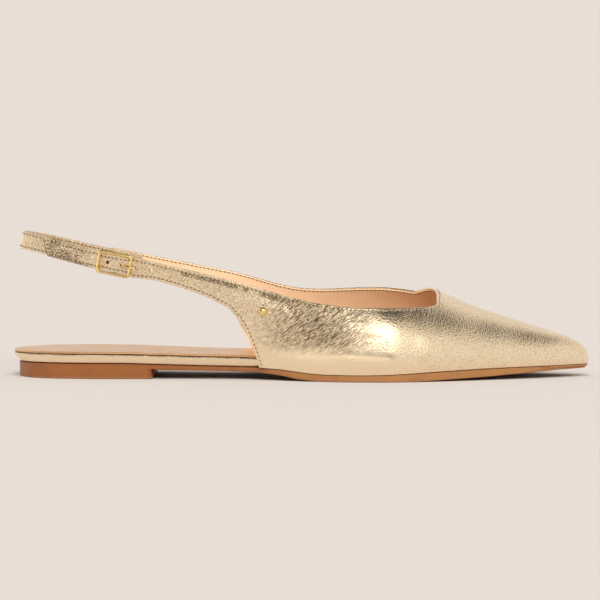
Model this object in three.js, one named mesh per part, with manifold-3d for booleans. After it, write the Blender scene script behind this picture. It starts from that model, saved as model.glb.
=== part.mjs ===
// A pointed slingback flat for the right foot, at its real size in millimetres.
// X runs from the heel to the toe, Y from the outer to the inner side of the foot, Z up from the floor.

import * as THREE from 'three';
import Module from 'manifold-3d';

// Overall lengths
const shoeLength = 266;
const ballWidth = 80;
const strapTopHeight = 67.4;
const crownHeight = 40.4;

// Layers and gaps
const wall = 1.4;
const slingThickness = 1.2;
const clearance = 0.3;
const layerGap = 0.45;
const boardThickness = 4.1;
const foreBoardThickness = 2;
const sockThickness = 0.9;
const foreSockThickness = 0.8;

// Sole
const bedHeight = 6.9;
const toeSpring = 3.9;
const breastAt = 66;
const breastSlope = 0.6;
const heelCorner = 3;
const soleEdgeRound = 0.5;
const soleReveal = 0.5;
const heelOverhang = 1.9;
const backOverhang = 0.8;
const toeTuck = 1.7;
const toeTuckFrom = 238;
const topTuckShare = 0.5;
const soleBlendStart = 106;
const soleBlendEnd = 128;

// Last
const wallRoundness = 2.2;
const ridgeShift = 5;
const belly = 1.3;
const fullBellyHeight = 30;

// Quarters and straps
const quarterBottomAt = 114.9;
const innerBottomAt = 110;
const strapPlanBack = 2.8;
const strapPlanReach = 147;
const backLean = 0.22;
const leanEndsAt = 44;
const wallBlendStart = 95;
const wallBlendEnd = 150;
const strapTipAt = 13.8;
const tipSlant = 2.9;
const innerTailAt = 44;
const slingLap = 14;

// Buckle, fastened
const buckleAt = 48.3;
const frameLength = 16.7;
const frameWidth = 10.8;
const frameWire = 1.4;
const frameCorner = 1.9;
const barWire = 1.2;
const prongWire = 0.9;
const prongHoleAhead = 3.6;
const prongPast = 1.4;
const holePitch = 7;
const holeWidth = 1.7;
const strapRise = 1.4;
const turnedBack = 9;

// Stud
const studAt = 116.7;
const studHeight = 31.6;
const studWidth = 4.2;
const studRise = 1.5;

// Faceting
const soleSteps = 44;
const vampSteps = 15;
const wallSteps = 8;
const throatSteps = 12;
const wireSides = 8;
const innerSlingSteps = 15;
const outerSlingSteps = 11;
const bentSteps = 7;
const foldSteps = 6;
const backSteps = 4;

const boardLength = shoeLength - wall - clearance;

// Tables: "at" is a share of shoeLength, the other columns are shares of the size named above each.

function table(columns, rows) {
  return Object.fromEntries(columns.map((name, i) => [name, rows.map((row) => row[i])]));
}

// Plan of the insole board, shares of ballWidth on each side of the middle line
const plan = table(['at', 'outer', 'inner'], [
  [0, 0, 0],
  [0.015, 0.163, 0.163],
  [0.053, 0.269, 0.269],
  [0.094, 0.312, 0.312],
  [0.15, 0.331, 0.325],
  [0.226, 0.325, 0.312],
  [0.301, 0.312, 0.281],
  [0.376, 0.316, 0.256],
  [0.432, 0.344, 0.263],
  [0.489, 0.394, 0.312],
  [0.545, 0.45, 0.394],
  [0.602, 0.485, 0.454],
  [0.658, 0.483, 0.475],
  [0.714, 0.441, 0.454],
  [0.771, 0.372, 0.398],
  [0.827, 0.29, 0.331],
  [0.883, 0.2, 0.26],
  [0.94, 0.106, 0.181],
  [0.977, 0.028, 0.115],
  [1, -0.05, 0.05],
]);

// Side view of the sole: its upper face as a share of bedHeight, its under side of toeSpring
const sole = table(['at', 'bed', 'under'], [
  [0, 0.97, 1.05],
  [0.053, 1, 1.05],
  [0.188, 1, 1.05],
  [0.248, 0.942, 1.05],
  [0.331, 0.855, 1],
  [0.38, 0.826, 0.949],
  [0.429, 0.797, 0.846],
  [0.47, 0.71, 0.615],
  [0.504, 0.551, 0.205],
  [0.549, 0.435, 0],
  [0.613, 0.42, 0],
  [0.677, 0.493, 0],
  [0.748, 0.623, 0.179],
  [0.82, 0.717, 0.41],
  [0.891, 0.761, 0.692],
  [0.944, 0.79, 0.897],
  [1, 0.812, 1],
]);

// Ridge of the last, shares of crownHeight; behind the throat it is where the two walls would meet
const crown = table(['at', 'up'], [
  [0.376, 1.634],
  [0.451, 1.584],
  [0.508, 1.51],
  [0.564, 1.411],
  [0.62, 1.292],
  [0.677, 1.146],
  [0.714, 1.045],
  [0.73, 1],
  [0.76, 0.921],
  [0.812, 0.777],
  [0.847, 0.7],
  [0.882, 0.624],
  [0.917, 0.552],
  [0.952, 0.478],
  [0.969, 0.433],
  [0.986, 0.366],
  [0.993, 0.322],
  [0.998, 0.272],
  [1, 0.215],
]);

// Edges of the outer quarter and of its strap, shares of strapTopHeight
const outerTop = table(['at', 'up'], [
  [0.011, 1],
  [0.053, 0.969],
  [0.096, 0.921],
  [0.132, 0.887],
  [0.215, 0.831],
  [0.289, 0.766],
  [0.335, 0.727],
  [0.382, 0.682],
  [0.439, 0.62],
  [0.496, 0.558],
  [0.519, 0.537],
  [0.553, 0.518],
  [0.599, 0.501],
  [0.654, 0.496],
  [0.711, 0.496],
  [0.729, 0.5],
  [0.735, 0.513],
]);
const outerLow = table(['at', 'up'], [
  [0.011, 0.868],
  [0.049, 0.841],
  [0.085, 0.807],
  [0.12, 0.773],
  [0.155, 0.74],
  [0.19, 0.709],
  [0.214, 0.691],
  [0.242, 0.68],
  [0.277, 0.65],
  [0.312, 0.608],
  [0.347, 0.556],
  [0.365, 0.522],
  [0.376, 0.499],
  [0.387, 0.457],
  [0.396, 0.418],
  [0.405, 0.366],
  [0.412, 0.31],
  [0.418, 0.254],
  [0.423, 0.197],
  [0.428, 0.141],
  [0.432, 0.086],
]);

// Edges of the inner quarter and of its tail, shares of strapTopHeight
const innerTop = table(['at', 'up'], [
  [0.011, 1],
  [0.053, 0.967],
  [0.15, 0.874],
  [0.182, 0.849],
  [0.252, 0.789],
  [0.32, 0.734],
  [0.391, 0.677],
  [0.425, 0.642],
  [0.459, 0.607],
  [0.495, 0.582],
  [0.53, 0.574],
  [0.602, 0.583],
  [0.635, 0.585],
  [0.671, 0.576],
  [0.689, 0.568],
  [0.699, 0.562],
]);
const innerLow = table(['at', 'up'], [
  [0.011, 0.868],
  [0.053, 0.837],
  [0.15, 0.746],
  [0.182, 0.72],
  [0.214, 0.691],
  [0.259, 0.648],
  [0.286, 0.619],
  [0.308, 0.585],
  [0.327, 0.552],
  [0.346, 0.51],
  [0.361, 0.467],
  [0.376, 0.414],
  [0.393, 0.288],
  [0.404, 0.197],
  [0.41, 0.141],
  [0.414, 0.086],
]);

// Throat edge from the outer to the inner corner: turn about the last in degrees
const throat = table(['turn', 'at'], [
  [0, 0.735],
  [75, 0.735],
  [88, 0.732],
  [96, 0.728],
  [104, 0.722],
  [111, 0.715],
  [117, 0.708],
  [123, 0.699],
  [180, 0.699],
]);

// Half width of the strap's loop, "at" a share of strapPlanReach and "half" of ballWidth
const loop = table(['at', 'half'], [
  [0, 0],
  [0.075, 0.131],
  [0.129, 0.169],
  [0.19, 0.2],
  [0.252, 0.231],
  [0.367, 0.275],
  [0.49, 0.312],
  [0.605, 0.344],
  [0.728, 0.369],
  [0.864, 0.388],
  [1, 0.4],
]);

// How far the lower end of each cut through the quarter runs ahead of its upper end, round the back edge
const rake = table(['top', 'lead'], [
  [0.355, 0],
  [0.37, 0.004],
  [0.389, 0.007],
  [0.408, 0.006],
  [0.419, 0.001],
  [0.442, -0.01],
  [0.47, -0.006],
  [0.5, 0],
]);

// A smooth curve through the rows of a table that never swings past them
function curveThrough(xs, ys) {
  const n = xs.length;
  const rise = [];
  for (let i = 0; i < n - 1; i++) rise.push((ys[i + 1] - ys[i]) / (xs[i + 1] - xs[i]));
  const slope = [rise[0]];
  for (let i = 1; i < n - 1; i++) {
    const before = rise[i - 1];
    const after = rise[i];
    slope.push(before * after <= 0 ? 0 : (2 * before * after) / (before + after));
  }
  slope.push(rise[n - 2]);
  return (x) => {
    const held = Math.min(Math.max(x, xs[0]), xs[n - 1]);
    let i = 0;
    while (i < n - 2 && held > xs[i + 1]) i++;
    const span = xs[i + 1] - xs[i];
    const t = (held - xs[i]) / span;
    const t2 = t * t;
    const t3 = t2 * t;
    return ys[i] * (2 * t3 - 3 * t2 + 1) + span * slope[i] * (t3 - 2 * t2 + t)
      + ys[i + 1] * (3 * t2 - 2 * t3) + span * slope[i + 1] * (t3 - t2);
  };
}

function smoothStep(from, to, x) {
  const t = Math.min(Math.max((x - from) / (to - from), 0), 1);
  return t * t * (3 - 2 * t);
}

// A share of a length as an angle, so that outlines close in round ends
function turnOf(share) {
  return Math.acos(1 - 2 * Math.min(Math.max(share, 0), 1));
}

function curveAlong(rows, column, size) {
  return curveThrough(rows.at.map((at) => at * shoeLength), rows[column].map((share) => share * size));
}

const bedAt = curveAlong(sole, 'bed', bedHeight);
const waistUnderAt = curveAlong(sole, 'under', toeSpring);
const outerTopAt = curveAlong(outerTop, 'up', strapTopHeight);
const outerLowAt = curveAlong(outerLow, 'up', strapTopHeight);
const innerTopAt = curveAlong(innerTop, 'up', strapTopHeight);
const innerLowAt = curveAlong(innerLow, 'up', strapTopHeight);
const crownAtTurn = curveThrough(crown.at.map(turnOf), crown.up.map((share) => share * crownHeight));
const outerPlan = curveThrough(plan.at.map(turnOf), plan.outer.map((share) => -share * ballWidth));
const innerPlan = curveThrough(plan.at.map(turnOf), plan.inner.map((share) => share * ballWidth));
const throatAt = curveThrough(throat.turn, throat.at);
const loopHalfAt = curveThrough(loop.at.map(Math.sqrt), loop.half.map((share) => share * ballWidth));
const leadAt = curveThrough(
  rake.top.map((at) => at * shoeLength),
  rake.lead.map((share) => share * shoeLength),
);

const OUTER = -1;
const INNER = 1;

// A point of the board's outline moved out by a distance, with the direction that it moved in
function outlinePoint(turn, side, out) {
  const across = side === OUTER ? outerPlan : innerPlan;
  const along = (t) => boardLength * (1 - Math.cos(t)) / 2;
  const step = 0.002;
  const before = Math.max(turn - step, 0);
  const after = Math.min(turn + step, Math.PI);
  let nx = (across(after) - across(before)) * -side;
  let ny = (along(after) - along(before)) * side;
  const tiny = 1e-6;
  if (turn < tiny) [nx, ny] = [-1, 0];
  if (turn > Math.PI - tiny) [nx, ny] = [1, 0];
  const size = Math.hypot(nx, ny);
  nx /= size;
  ny /= size;
  return { x: along(turn) + nx * out, y: across(turn) + ny * out, nx, ny };
}

// Bodies are gathered as shared points and triangles that face outwards
class Body {
  constructor() {
    this.points = [];
    this.faces = [];
    this.known = new Map();
  }

  point(p) {
    const key = [p.x, p.y, p.z].map((value) => Math.round(value * 500)).join();
    if (!this.known.has(key)) {
      this.known.set(key, this.points.length);
      this.points.push(p.clone());
    }
    return this.known.get(key);
  }

  triangle(a, b, c) {
    if (a !== b && b !== c && c !== a) this.faces.push([a, b, c]);
  }

  quad(a, b, c, d) {
    const ids = [a, b, c, d].map((p) => this.point(p));
    this.triangle(ids[0], ids[1], ids[2]);
    this.triangle(ids[0], ids[2], ids[3]);
  }

  geometry() {
    const geometry = new THREE.BufferGeometry();
    const flat = this.points.flatMap((p) => [p.x, p.y, p.z]);
    geometry.setAttribute('position', new THREE.Float32BufferAttribute(flat, 3));
    geometry.setIndex(this.faces.flat());
    return geometry;
  }
}

// A closed slab from rings of one outline, lowest first; each ring has its outer and its inner side
function slab(rings) {
  const body = new Body();
  for (let k = 0; k < rings.length - 1; k++) {
    for (const side of ['outer', 'inner']) {
      const low = rings[k][side];
      const high = rings[k + 1][side];
      for (let i = 0; i < low.length - 1; i++) {
        if (side === 'outer') body.quad(low[i], low[i + 1], high[i + 1], high[i]);
        else body.quad(low[i + 1], low[i], high[i], high[i + 1]);
      }
    }
  }
  const bottom = rings[0];
  const top = rings[rings.length - 1];
  for (let i = 0; i < bottom.outer.length - 1; i++) {
    body.quad(bottom.outer[i + 1], bottom.outer[i], bottom.inner[i], bottom.inner[i + 1]);
    body.quad(top.outer[i], top.outer[i + 1], top.inner[i + 1], top.inner[i]);
  }
  return body.geometry();
}

// One ring of a slab: its distance out from the board and its height are functions of X
function ring(turns, outAt, heightAt) {
  const line = (side) => turns.map((turn) => {
    const x = boardLength * (1 - Math.cos(turn)) / 2;
    const p = outlinePoint(turn, side, outAt(x));
    return new THREE.Vector3(p.x, p.y, heightAt(x));
  });
  return { outer: line(OUTER), inner: line(INNER) };
}

function evenTurns(steps) {
  return Array.from({ length: steps + 1 }, (_, i) => (Math.PI * i) / steps);
}

// The sole is narrower than the board round the heel and runs out under the upper further forward
function overhangAt(x) {
  return heelOverhang + backOverhang * (1 - smoothStep(0, heelCorner * 4, x));
}

// The end of the sole is drawn in under the toe, more at its foot than at its top
function tuckAt(x) {
  return toeTuck * smoothStep(toeTuckFrom, boardLength, x);
}

function soleOutAt(x) {
  const fore = wall + clearance + soleReveal - tuckAt(x) * topTuckShare;
  return -overhangAt(x) + (fore + overhangAt(x)) * smoothStep(soleBlendStart, soleBlendEnd, x);
}

// Outsole with its low heel, one moulded unit
function makeOutsole() {
  const breastTurns = [-heelCorner, -heelCorner * 0.55, -heelCorner * 0.15, 0, breastSlope]
    .map((step) => turnOf((breastAt + step) / boardLength));
  const apart = Math.PI / soleSteps / 2;
  const turns = evenTurns(soleSteps)
    .filter((turn) => breastTurns.every((breast) => Math.abs(turn - breast) > apart))
    .concat(breastTurns)
    .sort((a, b) => a - b);
  const inHeel = (x) => x <= breastAt + breastSlope / 2;
  const underAt = (x) => (inHeel(x) ? 0 : waistUnderAt(x));
  const cornerAt = (x) => {
    const left = breastAt - x;
    if (!inHeel(x) || left >= heelCorner) return 0;
    const run = heelCorner - Math.max(left, 0);
    return heelCorner - Math.sqrt(heelCorner * heelCorner - run * run);
  };
  const heelOut = (x) => soleOutAt(x) - cornerAt(x) - tuckAt(x) * (1 - topTuckShare);
  const thicknessAt = (x) => bedAt(x) - waistUnderAt(x);
  return slab([
    ring(turns, (x) => heelOut(x) - soleEdgeRound, underAt),
    ring(turns, heelOut, (x) => underAt(x) + soleEdgeRound),
    ring(turns, heelOut, (x) => (inHeel(x) ? waistUnderAt(x) : underAt(x) + thicknessAt(x) * 0.45)),
    ring(turns, soleOutAt, (x) => waistUnderAt(x) + thicknessAt(x) * (inHeel(x) ? 0.15 : 0.6)),
    ring(turns, soleOutAt, bedAt),
  ]);
}

// From thick under the heel to thin inside the upper
function thinning(rear, fore) {
  return (x) => rear + (fore - rear) * smoothStep(soleBlendStart, wallBlendEnd, x);
}

const boardThicknessAt = thinning(boardThickness, foreBoardThickness);
const sockThicknessAt = thinning(sockThickness, foreSockThickness);
const boardTopAt = (x) => bedAt(x) + clearance + boardThicknessAt(x);

// Insole board wrapped in leather: its side leans in down to the sole
function makeInsoleBoard() {
  const turns = evenTurns(soleSteps);
  const bottomAt = (x) => bedAt(x) + clearance;
  const footOut = (x) => -overhangAt(x) * (1 - smoothStep(soleBlendStart, wallBlendEnd, x));
  return slab([
    ring(turns, (x) => footOut(x) - boardThicknessAt(x) * 0.08, bottomAt),
    ring(turns, (x) => footOut(x) * 0.82, (x) => bottomAt(x) + boardThicknessAt(x) * 0.12),
    ring(turns, (x) => footOut(x) * 0.2, (x) => bottomAt(x) + boardThicknessAt(x) * 0.75),
    ring(turns, (x) => -boardThicknessAt(x) * 0.04, (x) => bottomAt(x) + boardThicknessAt(x) * 0.93),
    ring(turns, (x) => -boardThicknessAt(x) * 0.16, boardTopAt),
  ]);
}

// Sock glued on the board, with a rounded rim
function makeInsoleSock() {
  const turns = evenTurns(soleSteps);
  const bottomAt = (x) => boardTopAt(x) + clearance;
  const rim = (share) => (x) => -sockThicknessAt(x) * share;
  return slab([
    ring(turns, rim(0.55), bottomAt),
    ring(turns, rim(0.25), (x) => bottomAt(x) + sockThicknessAt(x) * 0.25),
    ring(turns, rim(0.3), (x) => bottomAt(x) + sockThicknessAt(x) * 0.65),
    ring(turns, rim(0.7), (x) => bottomAt(x) + sockThicknessAt(x) * 0.95),
    ring(turns, rim(1.3), (x) => bottomAt(x) + sockThicknessAt(x)),
  ]);
}

// One cut across the last: its two feet on the sole and the ridge between them
function lastSection(turn) {
  const outer = outlinePoint(turn, OUTER, wall + clearance);
  const inner = outlinePoint(turn, INNER, wall + clearance);
  const half = (inner.y - outer.y) / 2;
  const x = (outer.x + inner.x) / 2;
  const y = (outer.y + inner.y) / 2 + ridgeShift * (half / (ballWidth / 2));
  return { outer, inner, x, y, foot: bedAt(x) + clearance, top: crownAtTurn(turnOf(x / shoeLength)) };
}

// The wall bulges out a little above the sole
function bellyAt(section, up) {
  const full = Math.min(1, (section.top - section.foot) / fullBellyHeight);
  const peak = 256 / 27;
  return belly * full * peak * up * (1 - up) ** 3;
}

// A point of the last at an angle round it: 0 at the outer foot, 90 at the ridge, 180 at the inner foot
function lastPoint(turn, degrees) {
  const section = lastSection(turn);
  const angle = THREE.MathUtils.degToRad(degrees);
  const side = degrees < 90 ? section.outer : section.inner;
  const spread = Math.abs(Math.cos(angle)) ** (2 / wallRoundness);
  const up = Math.abs(Math.sin(angle)) ** (2 / wallRoundness);
  const out = bellyAt(section, up);
  return new THREE.Vector3(
    section.x + (side.x - section.x) * spread + side.nx * out,
    section.y + (side.y - section.y) * spread + side.ny * out,
    section.foot + (section.top - section.foot) * up,
  );
}

// The angle round the last of a given height on a section
function degreesAtHeight(turn, height) {
  const section = lastSection(turn);
  const up = (height - section.foot) / (section.top - section.foot);
  return THREE.MathUtils.radToDeg(Math.asin(up ** (wallRoundness / 2)));
}

// Height of the strap's lower edge, from which it leans in
function strapLowAt(x, side) {
  return side === OUTER ? outerLowAt(x) : innerLowAt(x);
}

function leanAt(x) {
  return backLean * (1 - smoothStep(0, leanEndsAt, x));
}

// Half width of the loop and how steeply it widens
function loopAt(x) {
  const halfAt = (at) => loopHalfAt(Math.sqrt(Math.max(at - strapPlanBack, 0) / strapPlanReach));
  const step = 0.05;
  return { half: halfAt(x), spread: (halfAt(x + step) - halfAt(x - step)) / (2 * step) };
}

// The outer strap rises over the buckle's bar, between its two end rails
const buckleLoop = loopAt(buckleAt);
const buckleYaw = Math.atan(buckleLoop.spread);
const outerMiddleAt = (x) => (outerTopAt(x) + outerLowAt(x)) / 2;
const buckleFall = Math.atan((outerMiddleAt(buckleAt + 6) - outerMiddleAt(buckleAt - 6)) / 12);
const buckleStride = Math.cos(buckleYaw) * Math.cos(buckleFall);
const aheadOfBuckle = (x, z) => (
  ((x - buckleAt) / Math.cos(buckleYaw)) * Math.cos(buckleFall)
  + (z - outerMiddleAt(buckleAt)) * Math.sin(buckleFall)
);
const innerFrameHalf = frameLength / 2 - frameWire;

function riseAt(ahead) {
  const share = Math.min(Math.abs(ahead) / innerFrameHalf, 1);
  return strapRise * Math.cos((share * Math.PI) / 2) ** 2;
}

// Y of the upper's outside at a place in the side view
function wallY(x, z, side) {
  const { half, spread } = loopAt(x);
  const rise = side === OUTER ? riseAt(aheadOfBuckle(x, z)) : 0;
  const lean = leanAt(x) * (z - strapLowAt(x, side));
  const out = wall + layerGap + rise - lean;
  const strapY = side * (half + out * Math.hypot(1, spread));
  if (x <= wallBlendStart) return strapY;
  const section = lastSection(turnOf(x / boardLength));
  const foot = side === OUTER ? section.outer : section.inner;
  const up = Math.max((z - section.foot) / (section.top - section.foot), 0);
  const share = (1 - up ** wallRoundness) ** (1 / wallRoundness);
  const lastY = section.y + (foot.y - section.y) * share + foot.ny * bellyAt(section, up);
  const free = smoothStep(0, strapTopHeight * 0.2, z - section.foot);
  return THREE.MathUtils.lerp(lastY, strapY, free * (1 - smoothStep(wallBlendStart, wallBlendEnd, x)));
}

// Upper edges of the outer strap are drawn in where it passes through the buckle's frame
function drawnIn(x) {
  const room = frameWidth / 2 - frameWire;
  const full = (outerTopAt(buckleAt) - outerLowAt(buckleAt)) / 2;
  const narrow = full - (room - clearance) / Math.cos(buckleFall);
  const ahead = Math.abs(x - buckleAt) / buckleStride;
  return narrow * (1 - smoothStep(innerFrameHalf - 0.6, innerFrameHalf + 0.8, ahead));
}

// Cuts through a quarter, front to back, each from its lower to its upper edge
function quarterCuts(side, tops) {
  const topAt = side === OUTER ? outerTopAt : innerTopAt;
  const lowAt = side === OUTER ? outerLowAt : innerLowAt;
  const bottomAt = side === OUTER ? quarterBottomAt : innerBottomAt;
  const shift = bottomAt - quarterBottomAt;
  return tops.map((top) => {
    const lead = leadAt(top - shift);
    let low = top + lead;
    if (Math.abs(low - bottomAt) < 1.2) low = bottomAt;
    const drawn = side === OUTER ? drawnIn(top) : 0;
    const lowZ = low >= bottomAt ? bedAt(low) + clearance : lowAt(low) + drawn;
    return { top, topZ: topAt(top) - drawn, low, lowZ };
  });
}

// Rows of points across each cut, spaced like the throat's own side
function cutRows(cuts, side, shares) {
  return cuts.map((cut) => shares.map((share) => {
    const x = cut.low + (cut.top - cut.low) * share;
    const z = cut.lowZ + (cut.topZ - cut.lowZ) * share;
    return new THREE.Vector3(x, wallY(x, z, side), z);
  }));
}

// The leather is thickened inwards from its outside, and its edges are closed
function thicken(sheet, thickness, settle) {
  const normals = sheet.points.map(() => new THREE.Vector3());
  for (const face of sheet.faces) {
    const [a, b, c] = face.map((i) => sheet.points[i]);
    const normal = b.clone().sub(a).cross(c.clone().sub(a));
    for (const i of face) normals[i].add(normal);
  }
  const body = new Body();
  body.points = sheet.points.slice();
  sheet.points.forEach((point, i) => {
    const inside = point.clone().addScaledVector(normals[i].normalize(), -thickness);
    settle(point, inside);
    body.points.push(inside);
  });
  const inner = sheet.points.length;
  const open = new Map();
  for (const [a, b, c] of sheet.faces) {
    body.faces.push([a, b, c], [a + inner, c + inner, b + inner]);
    for (const [from, to] of [[a, b], [b, c], [c, a]]) {
      if (!open.delete(`${to} ${from}`)) open.set(`${from} ${to}`, [from, to]);
    }
  }
  for (const [from, to] of open.values()) {
    body.faces.push([from, from + inner, to + inner], [from, to + inner, to]);
  }
  return body.geometry();
}

// Places back along a quarter: close together where the edge turns or the strap bends
const outerTops = [
  0.729, 0.715, 0.694, 0.667, 0.64, 0.61, 0.58, 0.55, 0.522, 0.5, 0.478, 0.46, 0.442, 0.432, 0.421, 0.41,
  0.4, 0.389, 0.378, 0.367, 0.355, 0.338, 0.318, 0.298, 0.277, 0.256, 0.236,
].map((share) => share * shoeLength);
const innerTops = [
  0.69, 0.68, 0.665, 0.645, 0.62, 0.59, 0.56, 0.53, 0.505, 0.482, 0.462, 0.442, 0.424, 0.414, 0.403, 0.392,
  0.381, 0.37, 0.359, 0.348, 0.335, 0.316, 0.296, 0.274, 0.252, 0.23, 0.208,
].map((share) => share * shoeLength);
const buckleTops = [9.4, 8.2, 7, 5.8, 4.4, 3, 1.5, 0, -1.5, -3, -4.4, -5.8, -7, -8.2, -9.4]
  .map((ahead) => buckleAt + ahead * buckleStride);

// Vamp, both quarters, the outer strap to its slanted tip and the tail for the sling
function makeUpperSheet() {
  const sheet = new Body();
  const turnAtShare = (at) => turnOf((at * shoeLength) / boardLength);
  const outerCorner = degreesAtHeight(turnAtShare(throat.at[0]), outerTopAt(throat.at[0] * shoeLength));
  const innerShare = throat.at[throat.at.length - 1];
  const innerCorner = 180 - degreesAtHeight(turnAtShare(innerShare), innerTopAt(innerShare * shoeLength));
  const degrees = [];
  for (let j = 0; j < wallSteps; j++) degrees.push((outerCorner * j) / wallSteps);
  for (let j = 0; j < throatSteps; j++) {
    degrees.push(outerCorner + ((innerCorner - outerCorner) * j) / throatSteps);
  }
  for (let j = 0; j <= wallSteps; j++) degrees.push(innerCorner + ((180 - innerCorner) * j) / wallSteps);

  const rows = [];
  for (let i = 0; i <= vampSteps; i++) {
    rows.push(degrees.map((angle, j) => {
      const start = turnAtShare(throatAt(angle));
      const even = (180 * j) / (degrees.length - 1);
      const share = i / vampSteps;
      return lastPoint(start + (Math.PI - start) * share, THREE.MathUtils.lerp(angle, even, share));
    }));
  }
  for (let i = 0; i < vampSteps; i++) {
    for (let j = 0; j < degrees.length - 1; j++) {
      sheet.quad(rows[i][j], rows[i + 1][j], rows[i + 1][j + 1], rows[i][j + 1]);
    }
  }

  for (const side of [OUTER, INNER]) {
    const edge = side === OUTER
      ? rows[0].slice(0, wallSteps + 1)
      : rows[0].slice(-wallSteps - 1).reverse();
    const rise = edge[wallSteps].z - edge[0].z;
    const shares = edge.map((point) => (point.z - edge[0].z) / rise);
    const tops = side === OUTER ? [...outerTops, ...buckleTops] : [...innerTops, innerTailAt + 6, innerTailAt];
    const cuts = quarterCuts(side, tops);
    if (side === OUTER) {
      for (const share of [0.7, 0.4, 0.15, 0]) {
        const top = strapTipAt + (buckleAt - 9.4 - strapTipAt) * share;
        const low = top + tipSlant * (1 - share);
        cuts.push({ top, topZ: outerTopAt(top) - clearance, low, lowZ: outerLowAt(low) + clearance });
      }
    }
    const grid = [edge, ...cutRows(cuts, side, shares)];
    for (let i = 0; i < grid.length - 1; i++) {
      for (let j = 0; j < wallSteps; j++) {
        const corners = [grid[i + 1][j], grid[i][j], grid[i][j + 1], grid[i + 1][j + 1]];
        sheet.quad(...(side === OUTER ? corners : corners.reverse()));
      }
    }
  }
  return sheet;
}

// Joining and cutting of closed bodies
const wasm = await Module();
wasm.setup();

function solidOf(geometry) {
  const position = geometry.getAttribute('position');
  const body = new Body();
  const ids = [];
  for (let i = 0; i < position.count; i++) {
    ids.push(body.point(new THREE.Vector3().fromBufferAttribute(position, i)));
  }
  const index = geometry.index ? Array.from(geometry.index.array) : ids.map((_, i) => i);
  for (let i = 0; i < index.length; i += 3) {
    body.triangle(ids[index[i]], ids[index[i + 1]], ids[index[i + 2]]);
  }
  return new wasm.Manifold(new wasm.Mesh({
    numProp: 3,
    vertProperties: new Float32Array(body.points.flatMap((p) => [p.x, p.y, p.z])),
    triVerts: new Uint32Array(body.faces.flat()),
  }));
}

function geometryOf(solid) {
  const mesh = solid.getMesh();
  const geometry = new THREE.BufferGeometry();
  geometry.setAttribute('position', new THREE.Float32BufferAttribute(mesh.vertProperties, 3));
  geometry.setIndex(Array.from(mesh.triVerts));
  return geometry;
}

// Places round the buckle: ahead along the strap, up across it and out from its outside
const buckleAhead = new THREE.Vector3(
  Math.cos(buckleYaw) * Math.cos(buckleFall),
  -Math.sin(buckleYaw) * Math.cos(buckleFall),
  Math.sin(buckleFall),
);
const buckleOut = new THREE.Vector3(-Math.sin(buckleYaw), -Math.cos(buckleYaw), 0);
const buckleUp = buckleAhead.clone().cross(buckleOut).negate();
const buckleMiddle = new THREE.Vector3(
  buckleAt,
  OUTER * (buckleLoop.half + (wall + layerGap) * Math.hypot(1, buckleLoop.spread)),
  outerMiddleAt(buckleAt),
);

function atBuckle(ahead, up, out) {
  return buckleMiddle.clone()
    .addScaledVector(buckleAhead, ahead)
    .addScaledVector(buckleUp, up)
    .addScaledVector(buckleOut, out);
}

// A round wire along points, closed on itself or with flat ends; aside is square to its run all along
function wire(points, radius, aside, closed) {
  const body = new Body();
  const count = points.length;
  const rings = points.map((point, i) => {
    const before = points[closed ? (i + count - 1) % count : Math.max(i - 1, 0)];
    const after = points[closed ? (i + 1) % count : Math.min(i + 1, count - 1)];
    const across = after.clone().sub(before).cross(aside).normalize();
    return Array.from({ length: wireSides }, (_, k) => {
      const angle = (2 * Math.PI * (k + 0.5)) / wireSides;
      return point.clone()
        .addScaledVector(across, radius * Math.cos(angle))
        .addScaledVector(aside, radius * Math.sin(angle));
    });
  });
  const last = closed ? count : count - 1;
  for (let i = 0; i < last; i++) {
    const here = rings[i];
    const next = rings[(i + 1) % count];
    for (let k = 0; k < wireSides; k++) {
      const m = (k + 1) % wireSides;
      body.quad(next[k], next[m], here[m], here[k]);
    }
  }
  if (!closed) {
    const [start, end] = [rings[0], rings[count - 1]];
    for (let k = 1; k < wireSides - 1; k++) {
      body.triangle(body.point(start[0]), body.point(start[k]), body.point(start[k + 1]));
      body.triangle(body.point(end[0]), body.point(end[k + 1]), body.point(end[k]));
    }
  }
  return solidOf(body.geometry());
}

// Heights at the bar, out from the strap's own outside: strap, sling, bar, then the sling turned back
const barRadius = barWire / 2;
const slingRadius = barRadius + clearance + slingThickness / 2;
const barOut = strapRise - wall - layerGap - slingThickness - clearance - barRadius;
const frameOut = layerGap + frameWire / 2;

// Frame with its middle bar, which steps down behind the strap
function makeBuckleFrame() {
  const half = frameLength / 2 - frameWire / 2;
  const rail = frameWidth / 2 - frameWire / 2;
  const bend = frameCorner - frameWire / 2;
  const outline = [];
  const corners = [[1, 1, 0], [-1, 1, 90], [-1, -1, 180], [1, -1, 270]];
  for (const [ahead, up, start] of corners) {
    for (const step of [0, 30, 60, 90]) {
      const angle = THREE.MathUtils.degToRad(start + step);
      outline.push(atBuckle(
        ahead * (half - bend) + bend * Math.cos(angle),
        up * (rail - bend) + bend * Math.sin(angle),
        frameOut,
      ));
    }
  }
  const reach = rail + barRadius * 0.9;
  const bar = [
    [[rail, frameOut], [rail, barOut]],
    [[-rail, frameOut], [-rail, barOut]],
    [[reach, barOut], [-reach, barOut]],
  ].map((ends) => wire(ends.map(([up, out]) => atBuckle(0, up, out)), barRadius, buckleAhead, false));
  return geometryOf(bar.reduce((all, piece) => all.add(piece), wire(outline, frameWire / 2, buckleOut, true)));
}

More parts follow.
